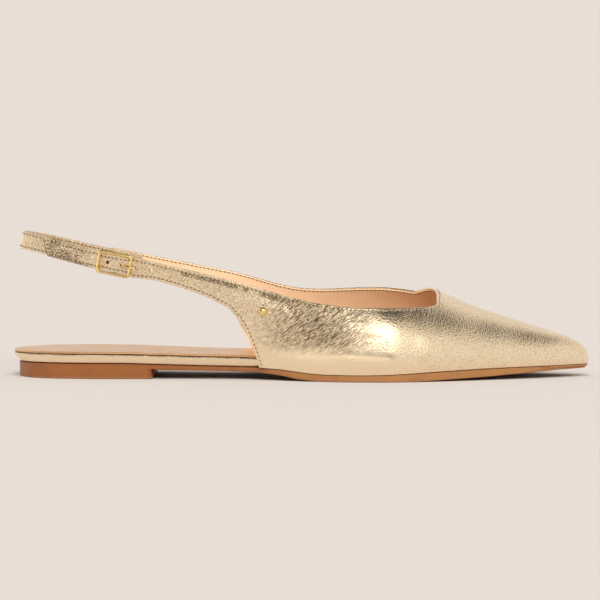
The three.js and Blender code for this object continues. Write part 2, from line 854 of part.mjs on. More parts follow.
// Prong: an eye round the bar, then an arm up through the strap's hole and over the front rail
function makeBuckleProng() {
  const radius = prongWire / 2;
  const eyeRadius = barRadius + clearance + radius;
  const eye = evenTurns(6).concat(evenTurns(6).slice(1, -1).map((turn) => turn + Math.PI))
    .map((turn) => atBuckle(eyeRadius * Math.cos(turn), 0, barOut + eyeRadius * Math.sin(turn)));
  const railTop = frameOut + frameWire / 2 + clearance + radius;
  const under = barOut + eyeRadius;
  const overStrap = riseAt(prongHoleAhead) + radius;
  const arm = [
    [eyeRadius * 0.3, under - radius * 0.3],
    [prongHoleAhead - radius * 2.6, under - radius * 0.5],
    [prongHoleAhead - radius * 0.2, under + radius * 0.4],
    [prongHoleAhead, overStrap - wall / 2],
    [prongHoleAhead + radius * 0.2, overStrap],
    [prongHoleAhead + radius * 3, overStrap + (railTop - overStrap) * 0.7],
    [frameLength / 2 - frameWire / 2, railTop],
    [frameLength / 2 + prongPast - frameWire / 2, railTop - radius * 0.3],
  ].map(([ahead, out]) => atBuckle(ahead, 0, out));
  return geometryOf(wire(eye, radius, buckleUp, true).add(wire(arm, radius, buckleUp, false)));
}

// The upper as a shell, with the holes for the prong down its outer strap
function makeUpper() {
  const sheet = makeUpperSheet();
  const onBed = (point) => Math.abs(point.z - bedAt(point.x) - clearance) < 1e-3;
  const shell = thicken(sheet, wall, (outside, inside) => {
    if (onBed(outside)) inside.z = bedAt(inside.x) + clearance;
  });
  let upper = solidOf(shell);
  for (const hole of [-1, 0, 1, 2]) {
    const x = buckleAt + (prongHoleAhead + hole * holePitch) * buckleStride;
    const z = outerMiddleAt(x);
    const middle = new THREE.Vector3(x, wallY(x, z, OUTER), z);
    const ends = [wall, -wall * 2].map((out) => middle.clone().addScaledVector(buckleOut, out));
    upper = upper.subtract(wire(ends, holeWidth / 2, buckleUp, false));
  }
  return geometryOf(upper);
}

// Sling: from inside the inner tail, round the heel, to the buckle's bar and back behind itself
function slingPath() {
  const path = [];
  const share = (x) => Math.sqrt((x - strapPlanBack) / strapPlanReach);
  const atShare = (value) => strapPlanBack + strapPlanReach * value * value;
  const onLoop = (x, side, lift, tilt) => {
    const { half, spread } = loopAt(x);
    const size = Math.hypot(1, spread);
    const out = lift - slingThickness / 2;
    path.push({ x: x - (spread / size) * out, y: side * (half + out / size), at: x, side, tilt });
  };
  const start = share(innerTailAt + slingLap);
  for (let i = 0; i < innerSlingSteps; i++) onLoop(atShare(start * (1 - i / innerSlingSteps)), INNER, 0, 0);
  path.push({ x: strapPlanBack + slingThickness / 2, y: 0, at: strapPlanBack, side: OUTER, tilt: 0 });
  const bendStart = buckleAt - (innerFrameHalf + 1) * buckleStride;
  for (let i = 1; i <= outerSlingSteps; i++) {
    onLoop(atShare((share(bendStart) * i) / outerSlingSteps), OUTER, 0, 0);
  }
  for (let i = 1; i < bentSteps; i++) {
    const x = bendStart + ((buckleAt - bendStart) * i) / bentSteps;
    onLoop(x, OUTER, riseAt((x - buckleAt) / buckleStride), smoothStep(0, bentSteps / 2, i));
  }
  const fold = (ahead, out) => {
    const point = atBuckle(ahead, 0, out);
    path.push({ x: point.x, y: point.y, at: point.x, side: OUTER, tilt: 1 });
  };
  for (let i = 0; i <= foldSteps; i++) {
    const turn = Math.PI / 2 - (Math.PI * i) / foldSteps;
    fold(slingRadius * Math.cos(turn), barOut + slingRadius * Math.sin(turn));
  }
  const behind = -wall - layerGap - slingThickness * 1.5 - clearance;
  for (let i = 1; i <= backSteps; i++) {
    const run = i / backSteps;
    const lift = smoothStep(0, 1, run);
    fold(-turnedBack * run, (barOut - slingRadius) * (1 - lift) + behind * lift);
  }
  return path;
}

function makeSlingStrap() {
  const path = slingPath();
  const body = new Body();
  const sections = path.map((place, i) => {
    const before = path[Math.max(i - 1, 0)];
    const after = path[Math.min(i + 1, path.length - 1)];
    const run = Math.hypot(after.x - before.x, after.y - before.y);
    const outwards = new THREE.Vector2((before.y - after.y) / run, (after.x - before.x) / run).negate();
    const topAt = place.side === OUTER ? outerTopAt : innerTopAt;
    const narrow = clearance + (place.side === OUTER ? drawnIn(place.at) : 0);
    const half = (topAt(place.at) - strapLowAt(place.at, place.side)) / 2;
    const middle = topAt(place.at) - half;
    const across = (half - narrow) * Math.cos(buckleFall);
    const height = THREE.MathUtils.lerp(half - narrow, across * Math.cos(buckleFall), place.tilt);
    const slide = -across * Math.sin(buckleFall) * place.tilt;
    const corner = (out, up) => {
      const lean = up > 0 ? leanAt(place.at) * 2 * height : 0;
      return new THREE.Vector3(
        place.x + outwards.x * (out - lean) + up * slide * Math.cos(buckleYaw),
        place.y + outwards.y * (out - lean) - up * slide * Math.sin(buckleYaw),
        middle + up * height,
      );
    };
    const out = slingThickness / 2;
    return [corner(out, -1), corner(out, 1), corner(-out, 1), corner(-out, -1)];
  });
  for (let i = 0; i < sections.length - 1; i++) {
    for (let k = 0; k < 4; k++) {
      const m = (k + 1) % 4;
      body.quad(sections[i + 1][k], sections[i + 1][m], sections[i][m], sections[i][k]);
    }
  }
  const [first, last] = [sections[0], sections[sections.length - 1]];
  body.quad(first[0], first[1], first[2], first[3]);
  body.quad(last[3], last[2], last[1], last[0]);

  const reach = slingRadius + slingThickness / 2 + clearance;
  const slotHalf = prongWire / 2 + clearance;
  const slot = new THREE.BoxGeometry(2 * reach, 2 * slotHalf, 2 * reach);
  slot.applyMatrix4(new THREE.Matrix4().makeBasis(buckleAhead, buckleUp, buckleOut));
  const at = atBuckle(0, 0, barOut);
  slot.translate(at.x, at.y, at.z);
  return geometryOf(solidOf(body.geometry()).subtract(solidOf(slot)));
}

// Plain domed stud on the outer quarter
function makeStud() {
  const radius = studWidth / 2;
  const profile = [new THREE.Vector2(0, 0), new THREE.Vector2(radius, 0)];
  for (let i = 0; i <= 5; i++) {
    const angle = (Math.PI / 2) * (i / 5);
    profile.push(new THREE.Vector2(
      radius * 0.94 * Math.cos(angle),
      studRise * (0.25 + 0.75 * Math.sin(angle)),
    ));
  }
  profile[profile.length - 1].x = 0;
  return new THREE.LatheGeometry(profile, 20);
}

function placeOnWall(mesh, x, z) {
  const step = 0.5;
  const here = (dx, dz) => new THREE.Vector3(x + dx, wallY(x + dx, z + dz, OUTER), z + dz);
  const ahead = here(step, 0).sub(here(-step, 0));
  const up = here(0, step).sub(here(0, -step));
  const out = ahead.cross(up).normalize();
  mesh.quaternion.setFromUnitVectors(new THREE.Vector3(0, 1, 0), out);
  mesh.position.copy(here(0, 0)).addScaledVector(out, clearance);
}

const goldLeather = { color: 0xe1c8a0, roughness: 0.38, metalness: 0.75 };
const brass = { color: 0xe8c874, roughness: 0.2, metalness: 1 };

function named(name, geometry, look) {
  geometry.computeVertexNormals();
  const mesh = new THREE.Mesh(geometry, new THREE.MeshStandardMaterial(look));
  mesh.name = name;
  return mesh;
}

const pieces = new THREE.Group();
pieces.add(named('outsole', makeOutsole(), { color: 0xa56437, roughness: 0.5, metalness: 0 }));
pieces.add(named('insole_board', makeInsoleBoard(), goldLeather));
pieces.add(named('insole_sock', makeInsoleSock(), { color: 0xd7af8c, roughness: 0.35, metalness: 0.6 }));
pieces.add(named('upper', makeUpper(), goldLeather));
pieces.add(named('sling_strap', makeSlingStrap(), goldLeather));
pieces.add(named('buckle_frame', makeBuckleFrame(), brass));
pieces.add(named('buckle_prong', makeBuckleProng(), brass));
const stud = named('stud', makeStud(), brass);
placeOnWall(stud, studAt, studHeight);
pieces.add(stud);

// The origin is under the middle of the whole shoe
const box = new THREE.Box3().setFromObject(pieces);
const middle = box.getCenter(new THREE.Vector3());
pieces.position.set(-middle.x, -middle.y, -box.min.z);

const shoe = new THREE.Group();
shoe.add(pieces);

export default shoe;
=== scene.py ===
"""A pointed slingback flat for the right foot, dressed over its CAD frame.

X runs from the heel to the toe, Y from the outer to the inner side of the foot, Z up from the floor.
"""
import math

import bmesh
import bpy
import numpy as np
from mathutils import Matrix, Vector
from mathutils.bvhtree import BVHTree
from mathutils.kdtree import KDTree


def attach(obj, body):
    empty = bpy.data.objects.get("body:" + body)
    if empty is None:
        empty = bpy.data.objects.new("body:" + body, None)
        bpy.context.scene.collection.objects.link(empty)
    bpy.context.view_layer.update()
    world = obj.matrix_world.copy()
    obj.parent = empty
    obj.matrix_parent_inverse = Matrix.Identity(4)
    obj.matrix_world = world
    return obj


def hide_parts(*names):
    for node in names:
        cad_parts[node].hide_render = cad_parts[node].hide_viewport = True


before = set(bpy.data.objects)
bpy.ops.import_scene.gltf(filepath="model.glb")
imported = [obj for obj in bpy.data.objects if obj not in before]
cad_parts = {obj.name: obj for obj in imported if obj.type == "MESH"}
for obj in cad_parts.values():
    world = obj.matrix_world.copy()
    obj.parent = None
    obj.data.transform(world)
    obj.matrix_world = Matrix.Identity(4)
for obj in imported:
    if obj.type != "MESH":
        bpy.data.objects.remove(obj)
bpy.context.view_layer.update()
scene = bpy.context.scene

# Outsole with its low heel: one moulded unit of brown rubber with a fine leather grain.
# It is cemented to the insole board and to the turned-in edge of the upper.
mm = 0.001
shoe_length = 266 * mm
ball_width = 80 * mm
wall = 1.4 * mm
clearance = 0.3 * mm
board_length = shoe_length - wall - clearance
to_frame = np.array([-133.145, 0.383, 0]) * mm
bed_height = 6.9 * mm
toe_spring = 3.9 * mm
breast_at = 66 * mm
breast_slope = 0.6 * mm
heel_corner = 3 * mm
sole_edge_round = 0.5 * mm
sole_reveal = 0.5 * mm
heel_overhang = 1.9 * mm
back_overhang = 0.8 * mm
toe_tuck = 1.7 * mm
toe_tuck_from = 238 * mm
top_tuck_share = 0.5
sole_blend_start = 106 * mm
sole_blend_end = 128 * mm
quarter_bottom_at = 114.9 * mm
wall_blend_end = 150 * mm
outer_side = -1
inner_side = 1

# "at" is a share of the shoe's length, the others are shares of the ball's width
plan_at, plan_outer, plan_inner = np.array([
    (0, 0, 0), (0.015, 0.163, 0.163), (0.053, 0.269, 0.269), (0.094, 0.312, 0.312), (0.15, 0.331, 0.325),
    (0.226, 0.325, 0.312), (0.301, 0.312, 0.281), (0.376, 0.316, 0.256), (0.432, 0.344, 0.263),
    (0.489, 0.394, 0.312), (0.545, 0.45, 0.394), (0.602, 0.485, 0.454), (0.658, 0.483, 0.475),
    (0.714, 0.441, 0.454), (0.771, 0.372, 0.398), (0.827, 0.29, 0.331), (0.883, 0.2, 0.26),
    (0.94, 0.106, 0.181), (0.977, 0.028, 0.115), (1, -0.05, 0.05),
]).T
# The sole's upper face as a share of bed_height and its under side as a share of toe_spring
sole_at, sole_bed, sole_under = np.array([
    (0, 0.97, 1.05), (0.053, 1, 1.05), (0.188, 1, 1.05), (0.248, 0.942, 1.05), (0.331, 0.855, 1),
    (0.38, 0.826, 0.949), (0.429, 0.797, 0.846), (0.47, 0.71, 0.615), (0.504, 0.551, 0.205),
    (0.549, 0.435, 0), (0.613, 0.42, 0), (0.677, 0.493, 0), (0.748, 0.623, 0.179), (0.82, 0.717, 0.41),
    (0.891, 0.761, 0.692), (0.944, 0.79, 0.897), (1, 0.812, 1),
]).T


def curve_through(xs, ys):
    """A smooth curve through a table's rows that never swings past them."""
    xs, ys = np.asarray(xs, float), np.asarray(ys, float)
    rise = np.diff(ys) / np.diff(xs)
    slope = np.concatenate([rise[:1], np.zeros(len(xs) - 2), rise[-1:]])
    both = rise[:-1] * rise[1:]
    slope[1:-1] = np.where(both > 0, 2 * both / np.where(both > 0, rise[:-1] + rise[1:], 1), 0)

    def curve(x):
        held = np.clip(x, xs[0], xs[-1])
        i = np.clip(np.searchsorted(xs, held, side="right") - 1, 0, len(xs) - 2)
        span = xs[i + 1] - xs[i]
        t = (held - xs[i]) / span
        return (ys[i] * (2 * t**3 - 3 * t**2 + 1) + span * slope[i] * (t**3 - 2 * t**2 + t)
                + ys[i + 1] * (3 * t**2 - 2 * t**3) + span * slope[i + 1] * (t**3 - t**2))
    return curve


def smooth_step(start, end, x):
    t = np.clip((x - start) / (end - start), 0, 1)
    return t * t * (3 - 2 * t)


def turn_of(share):
    """A share of a length as an angle, so that outlines close in round ends."""
    return np.arccos(1 - 2 * np.clip(share, 0, 1))


bed_at = curve_through(sole_at * shoe_length, sole_bed * bed_height)
under_at = curve_through(sole_at * shoe_length, sole_under * toe_spring)
outer_plan = curve_through(turn_of(plan_at), -plan_outer * ball_width)
inner_plan = curve_through(turn_of(plan_at), plan_inner * ball_width)


def along_board(turn):
    return board_length * (1 - np.cos(turn)) / 2


def outline_point(turn, side, out):
    """x, y of the board's outline moved out by a distance, and the direction it moved in."""
    across = outer_plan if side == outer_side else inner_plan
    step = 0.002
    before, after = np.maximum(turn - step, 0), np.minimum(turn + step, np.pi)
    nx = (across(after) - across(before)) * -side
    ny = (along_board(after) - along_board(before)) * side
    at_back, at_tip = turn < 1e-6, turn > np.pi - 1e-6
    nx = np.where(at_back, -1, np.where(at_tip, 1, nx))
    ny = np.where(at_back | at_tip, 0, ny)
    size = np.hypot(nx, ny)
    nx, ny = nx / size, ny / size
    return along_board(turn) + nx * out, across(turn) + ny * out, nx, ny


def outline_ring(turns, out_at, height_at):
    """Both sides of the outline at one height, heel to toe, as an array of side, place and xyz."""
    x_mid = along_board(turns)
    sides = []
    for side in (outer_side, inner_side):
        x, y, _, _ = outline_point(turns, side, out_at(x_mid))
        sides.append(np.stack([x, y, np.broadcast_to(height_at(x_mid), x.shape)], -1))
    return np.array(sides)


def slab_grids(rings, across=12):
    """The side, under side and top of a closed slab, as grids of points."""
    rings = np.array(rings)
    share = np.linspace(0, 1, across + 1)[:, None, None]
    caps = [ring[0] * (1 - share) + ring[1] * share for ring in (rings[0], rings[-1])]
    return [rings[:, 0], rings[:, 1], *caps]


def finished(mesh, merge, sharp):
    """Merges a mesh's doubled points, turns its faces outwards and smooths them up to an angle."""
    bm = bmesh.new()
    bm.from_mesh(mesh)
    bmesh.ops.remove_doubles(bm, verts=bm.verts, dist=merge)
    bmesh.ops.recalc_face_normals(bm, faces=bm.faces)
    bm.to_mesh(mesh)
    bm.free()
    mesh.shade_smooth()
    mesh.set_sharp_from_angle(angle=math.radians(sharp))
    return mesh


def weld(name, grids, sharp=180):
    """One mesh from grids of points in the shoe's own frame, with shared edges merged."""
    points, faces = [], []
    for grid in grids:
        start = sum(len(p) for p in points)
        rows, columns = grid.shape[:2]
        ids = np.arange(rows * columns).reshape(rows, columns) + start
        points.append(grid.reshape(-1, 3) + to_frame)
        faces.append(np.stack([ids[:-1, :-1], ids[1:, :-1], ids[1:, 1:], ids[:-1, 1:]], -1).reshape(-1, 4))
    mesh = bpy.data.meshes.new(name)
    mesh.from_pydata(np.concatenate(points).tolist(), [], np.concatenate(faces).tolist())
    return finished(mesh, 0.002 * mm, sharp)


def place(mesh):
    piece = bpy.data.objects.new(mesh.name, mesh)
    scene.collection.objects.link(piece)
    return piece


def overhang_at(x):
    return heel_overhang + back_overhang * (1 - smooth_step(0, heel_corner * 4, x))


def tuck_at(x):
    """The end of the sole is drawn in under the toe."""
    return toe_tuck * smooth_step(toe_tuck_from, board_length, x)


def sole_out_at(x):
    fore = wall + clearance + sole_reveal - tuck_at(x) * top_tuck_share
    reach = smooth_step(sole_blend_start, sole_blend_end, x)
    return -overhang_at(x) + (fore + overhang_at(x)) * reach


def in_heel(x):
    return x <= breast_at + breast_slope / 2


def heel_out_at(x):
    run = np.clip(heel_corner - np.maximum(breast_at - x, 0), 0, heel_corner)
    corner = heel_corner - np.sqrt(heel_corner**2 - run**2)
    return sole_out_at(x) - np.where(in_heel(x), corner, 0) - tuck_at(x) * (1 - top_tuck_share)


def floor_side_at(x):
    return np.where(in_heel(x), 0, under_at(x))


# Cuts are close together at the heel's front corner and on both sides of its front face
breast_cuts = np.array([-3, -2.4, -1.6, -0.9, -0.4, -0.1, 0, 0.6]) * mm
breast_turns = turn_of((breast_at + breast_cuts) / board_length)
turns = np.linspace(0, np.pi, 181)
sole_turns = turns
apart = np.abs(sole_turns[:, None] - breast_turns).min(axis=1) > turns[1] / 2
between = (sole_turns > breast_turns[0]) & (sole_turns < breast_turns[-1])
sole_turns = np.sort(np.concatenate([sole_turns[apart & ~between], breast_turns]))
edge_steps = [(1 - math.sin(a), 1 - math.cos(a)) for a in np.linspace(0, np.pi / 2, 5)]
sole_rings = [
    outline_ring(sole_turns, lambda x, o=o: heel_out_at(x) - sole_edge_round * o,
                 lambda x, u=u: floor_side_at(x) + sole_edge_round * u)
    for o, u in edge_steps
]
# Between these shares of its thickness the side steps from the heel's outline to the sole's
for out_at, heel_share, fore_share in ((heel_out_at, 0, 0.45), (sole_out_at, 0.15, 0.6), (sole_out_at, 1, 1)):
    sole_rings.append(outline_ring(sole_turns, out_at, lambda x, heel=heel_share, fore=fore_share: (
        under_at(x) + (bed_at(x) - under_at(x)) * np.where(in_heel(x), heel, fore))))
outsole = place(weld("outsole_unit", slab_grids(sole_rings), sharp=40))


def add_node(tree, kind, inputs=None, **settings):
    """A shader node with its settings and its inputs, each a value or another node's output."""
    node = tree.nodes.new(kind)
    for key, value in settings.items():
        setattr(node, key, value)
    for key, value in (inputs or {}).items():
        if isinstance(value, bpy.types.NodeSocket):
            tree.links.new(value, node.inputs[key])
        else:
            node.inputs[key].default_value = value
    return node


def math_node(tree, operation, first, *others):
    """Takes each further value to the result with the operation."""
    for other in others:
        first = add_node(tree, "ShaderNodeMath", {0: first, 1: other}, operation=operation).outputs[0]
    return first


def between_node(tree, value, start, end, low=0.0, high=1.0):
    """Rises smoothly from low at start to high at end."""
    inputs = {"Value": value, "From Min": start, "From Max": end, "To Min": low, "To Max": high}
    return add_node(tree, "ShaderNodeMapRange", inputs, interpolation_type="SMOOTHSTEP").outputs["Result"]


def mix_node(tree, share, first, second):
    return add_node(tree, "ShaderNodeMix", {0: share, 6: first, 7: second}, data_type="RGBA").outputs[2]


def noise_node(tree, place_in_shoe, scale, detail=4.0):
    return add_node(tree, "ShaderNodeTexNoise", {
        "Vector": place_in_shoe, "Scale": scale, "Detail": detail}).outputs["Fac"]


def new_material(name, **sockets):
    """A material, its tree, its shader with the values that are the same all over, and the places in the shoe."""
    material = bpy.data.materials.new(name)
    material.use_nodes = True
    shader = material.node_tree.nodes["Principled BSDF"]
    for key, value in sockets.items():
        shader.inputs[key.replace("_", " ").title()].default_value = value
    place_in_shoe = add_node(material.node_tree, "ShaderNodeTexCoord").outputs["Object"]
    return material, material.node_tree, shader, place_in_shoe


def new_relief(name, **sizes):
    """A shader group that turns a place and some sizes into a height and a share of furrow, where shade is painted.
    """
    group = bpy.data.node_groups.new(name, "ShaderNodeTree")
    group.interface.new_socket("Vector", in_out="INPUT", socket_type="NodeSocketVector")
    for label, value in sizes.items():
        group.interface.new_socket(label, in_out="INPUT", socket_type="NodeSocketFloat").default_value = value
    for label in ("Height", "Furrow Shade"):
        group.interface.new_socket(label, in_out="OUTPUT", socket_type="NodeSocketFloat")
    return group, group.nodes.new("NodeGroupInput").outputs, group.nodes.new("NodeGroupOutput").inputs


def place_relief(tree, group, place_in_shoe, **sizes):
    return add_node(tree, "ShaderNodeGroup", {"Vector": place_in_shoe, **sizes}, node_tree=group).outputs


def dress(tree, shader, colour, roughness=None, height=None, strength=1.0, depth=0.2 * mm):
    """Links a shader's colour and, where they are given, its roughness and its relief."""
    tree.links.new(colour, shader.inputs["Base Color"])
    if roughness:
        tree.links.new(roughness, shader.inputs["Roughness"])
    if height:
        bump = add_node(tree, "ShaderNodeBump", {"Strength": strength, "Distance": depth, "Height": height})
        tree.links.new(bump.outputs["Normal"], shader.inputs["Normal"])


# Pebbled grain: rounded cells of a size in metres, broken up by a finer noise
pebble_grain, group_in, group_out = new_relief("pebble_grain", Cell=0.0006, Broken=0.5)
tree = pebble_grain
cells_a_metre = math_node(tree, "DIVIDE", 1.0, group_in["Cell"])
from_middle = add_node(tree, "ShaderNodeTexVoronoi", {
    "Vector": group_in["Vector"], "Scale": cells_a_metre, "Randomness": 1.0}, feature="F1").outputs["Distance"]
broken = add_node(tree, "ShaderNodeTexNoise", {
    "Vector": group_in["Vector"], "Scale": math_node(tree, "MULTIPLY", cells_a_metre, 0.9),
    "Detail": 3.0, "Roughness": 0.6}).outputs["Fac"]
rounded = math_node(tree, "SUBTRACT", 1.0, math_node(tree, "POWER", from_middle, 2.0))
mixed = add_node(tree, "ShaderNodeMix", {"Factor": group_in["Broken"], "A": rounded, "B": broken})
tree.links.new(mixed.outputs[0], group_out["Height"])
# The hollows between the cells, where the materials paint shade
tree.links.new(between_node(tree, from_middle, 0.45, 0.8), group_out["Furrow Shade"])

sole_rubber, tree, shader, place_in_shoe = new_material("sole_rubber")
grain = place_relief(tree, pebble_grain, place_in_shoe, Cell=0.0007, Broken=0.6)
cloud = noise_node(tree, place_in_shoe, 90.0)
axes = add_node(tree, "ShaderNodeSeparateXYZ", {"Vector": place_in_shoe}).outputs
in_heel_part = mix_node(tree, cloud, (0.22, 0.067, 0.013, 1), (0.315, 0.105, 0.022, 1))
in_fore_part = mix_node(tree, cloud, (0.27, 0.108, 0.030, 1), (0.43, 0.20, 0.066, 1))
brown = mix_node(tree, between_node(tree, axes["X"], -0.06, 0.03), in_heel_part, in_fore_part)
brown = mix_node(tree, between_node(tree, axes["Z"], 0.0004, 0.0014, 0.5, 0.0), brown, (0.34, 0.16, 0.08, 1))
dress(tree, shader, brown, between_node(tree, cloud, 0.35, 0.65, 0.24, 0.5), grain["Height"], 0.35, 0.08 * mm)
outsole.data.materials.append(sole_rubber)
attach(outsole, "root")
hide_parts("outsole")

# Insole board: firm board wrapped in the gold leather, whose side shows as the rand.
# Its side leans in down to the sole, and it is pressed into the upper in the fore part.
board_thickness = 4.1 * mm
fore_board_thickness = 2 * mm
gathers_from, gathers_full = 0.82, 0.93


def mark(mesh, name, values):
    mesh.attributes.new(name, "FLOAT", "POINT").data.foreach_set("value", values.astype(np.float32))


def thinning(rear, fore):
    return lambda x: rear + (fore - rear) * smooth_step(sole_blend_start, wall_blend_end, x)


board_thickness_at = thinning(board_thickness, fore_board_thickness)
# Up the board's side, shares of its thickness: how far in along the overhang, and in by thickness
board_up, board_lean, board_round = np.array([
    (0, 1, 0.08), (0.05, 0.93, 0.02), (0.12, 0.82, 0), (0.4, 0.5, -0.03), (0.75, 0.2, 0), (0.88, 0.05, 0.02),
    (0.95, 0, 0.07), (1, 0, 0.16),
]).T


def board_foot_at(x):
    return -overhang_at(x) * (1 - smooth_step(sole_blend_start, wall_blend_end, x))


board_rings = [
    outline_ring(turns, lambda x, a=a, b=b: board_foot_at(x) * a - board_thickness_at(x) * b,
                 lambda x, u=u: bed_at(x) + clearance + board_thickness_at(x) * u)
    for u, a, b in zip(board_up, board_lean, board_round)
]
board = place(weld("insole_board_wrapped", slab_grids(board_rings), sharp=60))
up_board = np.array([v.co for v in board.data.vertices])
up_board = up_board[:, 2] - bed_at(up_board[:, 0] - to_frame[0]) - clearance
gathers = smooth_step(gathers_from, gathers_full, up_board / board_thickness)
mark(board.data, "gathered", gathers)

# Drawn wrinkles: long soft furrows, turned in the side view, of a length and width in metres
drawn_wrinkles, group_in, group_out = new_relief("drawn_wrinkles", Long=0.004, Wide=0.0009, Turn=0.9)
tree = drawn_wrinkles
turned = add_node(tree, "ShaderNodeVectorRotate", {
    "Vector": group_in["Vector"], "Angle": group_in["Turn"]}, rotation_type="Y_AXIS").outputs["Vector"]
drawn_out = add_node(tree, "ShaderNodeCombineXYZ", {
    axis: group_in[size] for axis, size in (("X", "Long"), ("Y", "Long"), ("Z", "Wide"))}).outputs["Vector"]
stretched = add_node(tree, "ShaderNodeVectorMath", {0: turned, 1: drawn_out}, operation="DIVIDE").outputs["Vector"]
folds = add_node(tree, "ShaderNodeTexNoise", {
    "Vector": stretched, "Scale": 1.0, "Detail": 2.5, "Roughness": 0.55, "Distortion": 0.5}).outputs["Fac"]
tree.links.new(between_node(tree, folds, 0.36, 0.6), group_out["Height"])
# The furrows between the folds, where the gold leather paints shade
tree.links.new(between_node(tree, folds, 0.50, 0.40), group_out["Furrow Shade"])

# Gold leather: foiled, finely pebbled, wrinkled on the quarters and crackled on the strap's end. Shade is painted
# into the furrows of the wrinkles and the grain, and as a dark crackle under the upper row of stitches
gold_leather, tree, shader, place_in_shoe = new_material("gold_leather", metallic=0.95)
axes = add_node(tree, "ShaderNodeSeparateXYZ", {"Vector": place_in_shoe}).outputs
from_edge, raw_edge, gathered = (add_node(tree, "ShaderNodeAttribute", attribute_name=name).outputs["Fac"]
                                 for name in ("from_rim", "raw_edge", "gathered"))


def all_of(*shares):
    return math_node(tree, "MULTIPLY", *shares)


def band(value, start, full, still_full, end):
    """1 between two values, fading to 0 on both sides of them."""
    return all_of(between_node(tree, value, start, full), between_node(tree, value, end, still_full))


speckle = place_relief(tree, pebble_grain, place_in_shoe, Cell=0.00075, Broken=0.45)
wrinkles = place_relief(tree, drawn_wrinkles, place_in_shoe, Long=0.0028, Wide=0.00042, Turn=0.66)
cross = place_relief(tree, drawn_wrinkles, place_in_shoe, Long=0.0015, Wide=0.0004, Turn=0.95)
on_quarter = all_of(band(axes["X"], -0.026, 0.0, 0.014, 0.040), between_node(tree, axes["Z"], 0.011, 0.019),
                    between_node(tree, axes["Y"], 0.0, 0.02, 1.0, 0.55))
on_strap = all_of(between_node(tree, axes["X"], -0.004, -0.03), between_node(tree, axes["Z"], 0.018, 0.030))
at_tip = all_of(band(axes["X"], -0.1205, -0.115, -0.1, -0.094), between_node(tree, axes["Y"], -0.002, -0.006),
                between_node(tree, axes["Z"], 0.030, 0.040))
# The height over a slanted line that parts what is nearer the upper row from what is nearer the lower
above = math_node(tree, "ADD", axes["Z"], all_of(axes["X"], 0.27))
# Under the upper row of stitches: a band where a crackle pattern is painted dark as the shade of the trough there
row_shade_band = all_of(band(from_edge, 1.4, 1.8, 2.6, 4.4), band(axes["X"], -0.072, -0.05, -0.012, 0.004),
                   between_node(tree, above, 0.0305, 0.0315))
patches = noise_node(tree, place_in_shoe, 140.0)
spotty = between_node(tree, patches, 0.40, 0.56)
# Foil crackle at the strap's end and the rand's gathered top, and painted shade under the upper row of stitches
crackle_and_row_shade = math_node(
    tree, "MAXIMUM", all_of(math_node(tree, "MAXIMUM", at_tip, gathered), between_node(tree, spotty, 0.0, 1.0, 0.45)),
    all_of(row_shade_band, between_node(tree, spotty, 0.0, 1.0, 0.3)))
crackle = add_node(tree, "ShaderNodeTexVoronoi", {"Vector": place_in_shoe, "Scale": 950.0, "Randomness": 1.0},
                   feature="DISTANCE_TO_EDGE").outputs["Distance"]
smooth_low = all_of(between_node(tree, axes["Z"], 0.020, 0.012), between_node(tree, axes["X"], 0.07, 0.03))
relief_height = math_node(
    tree, "ADD",
    all_of(wrinkles["Height"], on_quarter, 1.4), all_of(cross["Height"], on_strap, 0.5),
    all_of(speckle["Height"], between_node(tree, smooth_low, 0.0, 1.0, 0.72, 0.12),
           between_node(tree, axes["X"], -0.03, -0.01, 0.6, 1.0)),
    all_of(between_node(tree, crackle, 0.0, 0.3), crackle_and_row_shade, 1.8))
gold = mix_node(tree, patches, (0.93, 0.745, 0.50, 1), (0.98, 0.82, 0.60, 1))
# Painted shade in the furrows of the quarters' wrinkles and, fainter, of the strap's cross grain
gold = mix_node(tree, all_of(wrinkles["Furrow Shade"], on_quarter, 0.85), gold, (0.13, 0.08, 0.035, 1))
gold = mix_node(tree, all_of(cross["Furrow Shade"], on_strap, 0.2), gold, (0.30, 0.19, 0.09, 1))
# Painted shade in the hollows of the pebble grain, fainter on the smooth lower quarter
gold = mix_node(tree, all_of(speckle["Furrow Shade"], between_node(tree, smooth_low, 0.0, 1.0, 0.3, 0.08)), gold,
                (0.42, 0.28, 0.13, 1))
# Crackle lines painted dark: cracks in the foil, and painted shade in the band under the upper row of stitches
gold = mix_node(tree, all_of(between_node(tree, crackle, 0.13, 0.0), crackle_and_row_shade, 0.95), gold, (0.05, 0.03, 0.015, 1))
gold = mix_node(tree, between_node(tree, raw_edge, 0.3, 0.6), gold, (0.20, 0.055, 0.018, 1))
dress(tree, shader, gold, between_node(tree, patches, 0.3, 0.7, 0.17, 0.25), relief_height)
board.data.materials.append(gold_leather)
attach(board, "root")
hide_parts("insole_board")

# Sock: thin champagne foiled leather with a rounded rim.
# It is glued all over the insole board.
sock_thickness = 0.9 * mm
fore_sock_thickness = 0.8 * mm
sock_thickness_at = thinning(sock_thickness, fore_sock_thickness)
sock_up, sock_rim = np.array([
    (0, 0.55), (0.1, 0.36), (0.25, 0.25), (0.45, 0.22), (0.65, 0.3), (0.82, 0.45), (0.95, 0.75), (1, 1.3),
]).T


def sock_bottom_at(x):
    return bed_at(x) + clearance + board_thickness_at(x) + clearance


sock_rings = [
    outline_ring(turns, lambda x, r=r: -sock_thickness_at(x) * r,
                 lambda x, u=u: sock_bottom_at(x) + sock_thickness_at(x) * u)
    for u, r in zip(sock_up, sock_rim)
]
sock = place(weld("sock_glued", slab_grids(sock_rings, across=40), sharp=60))

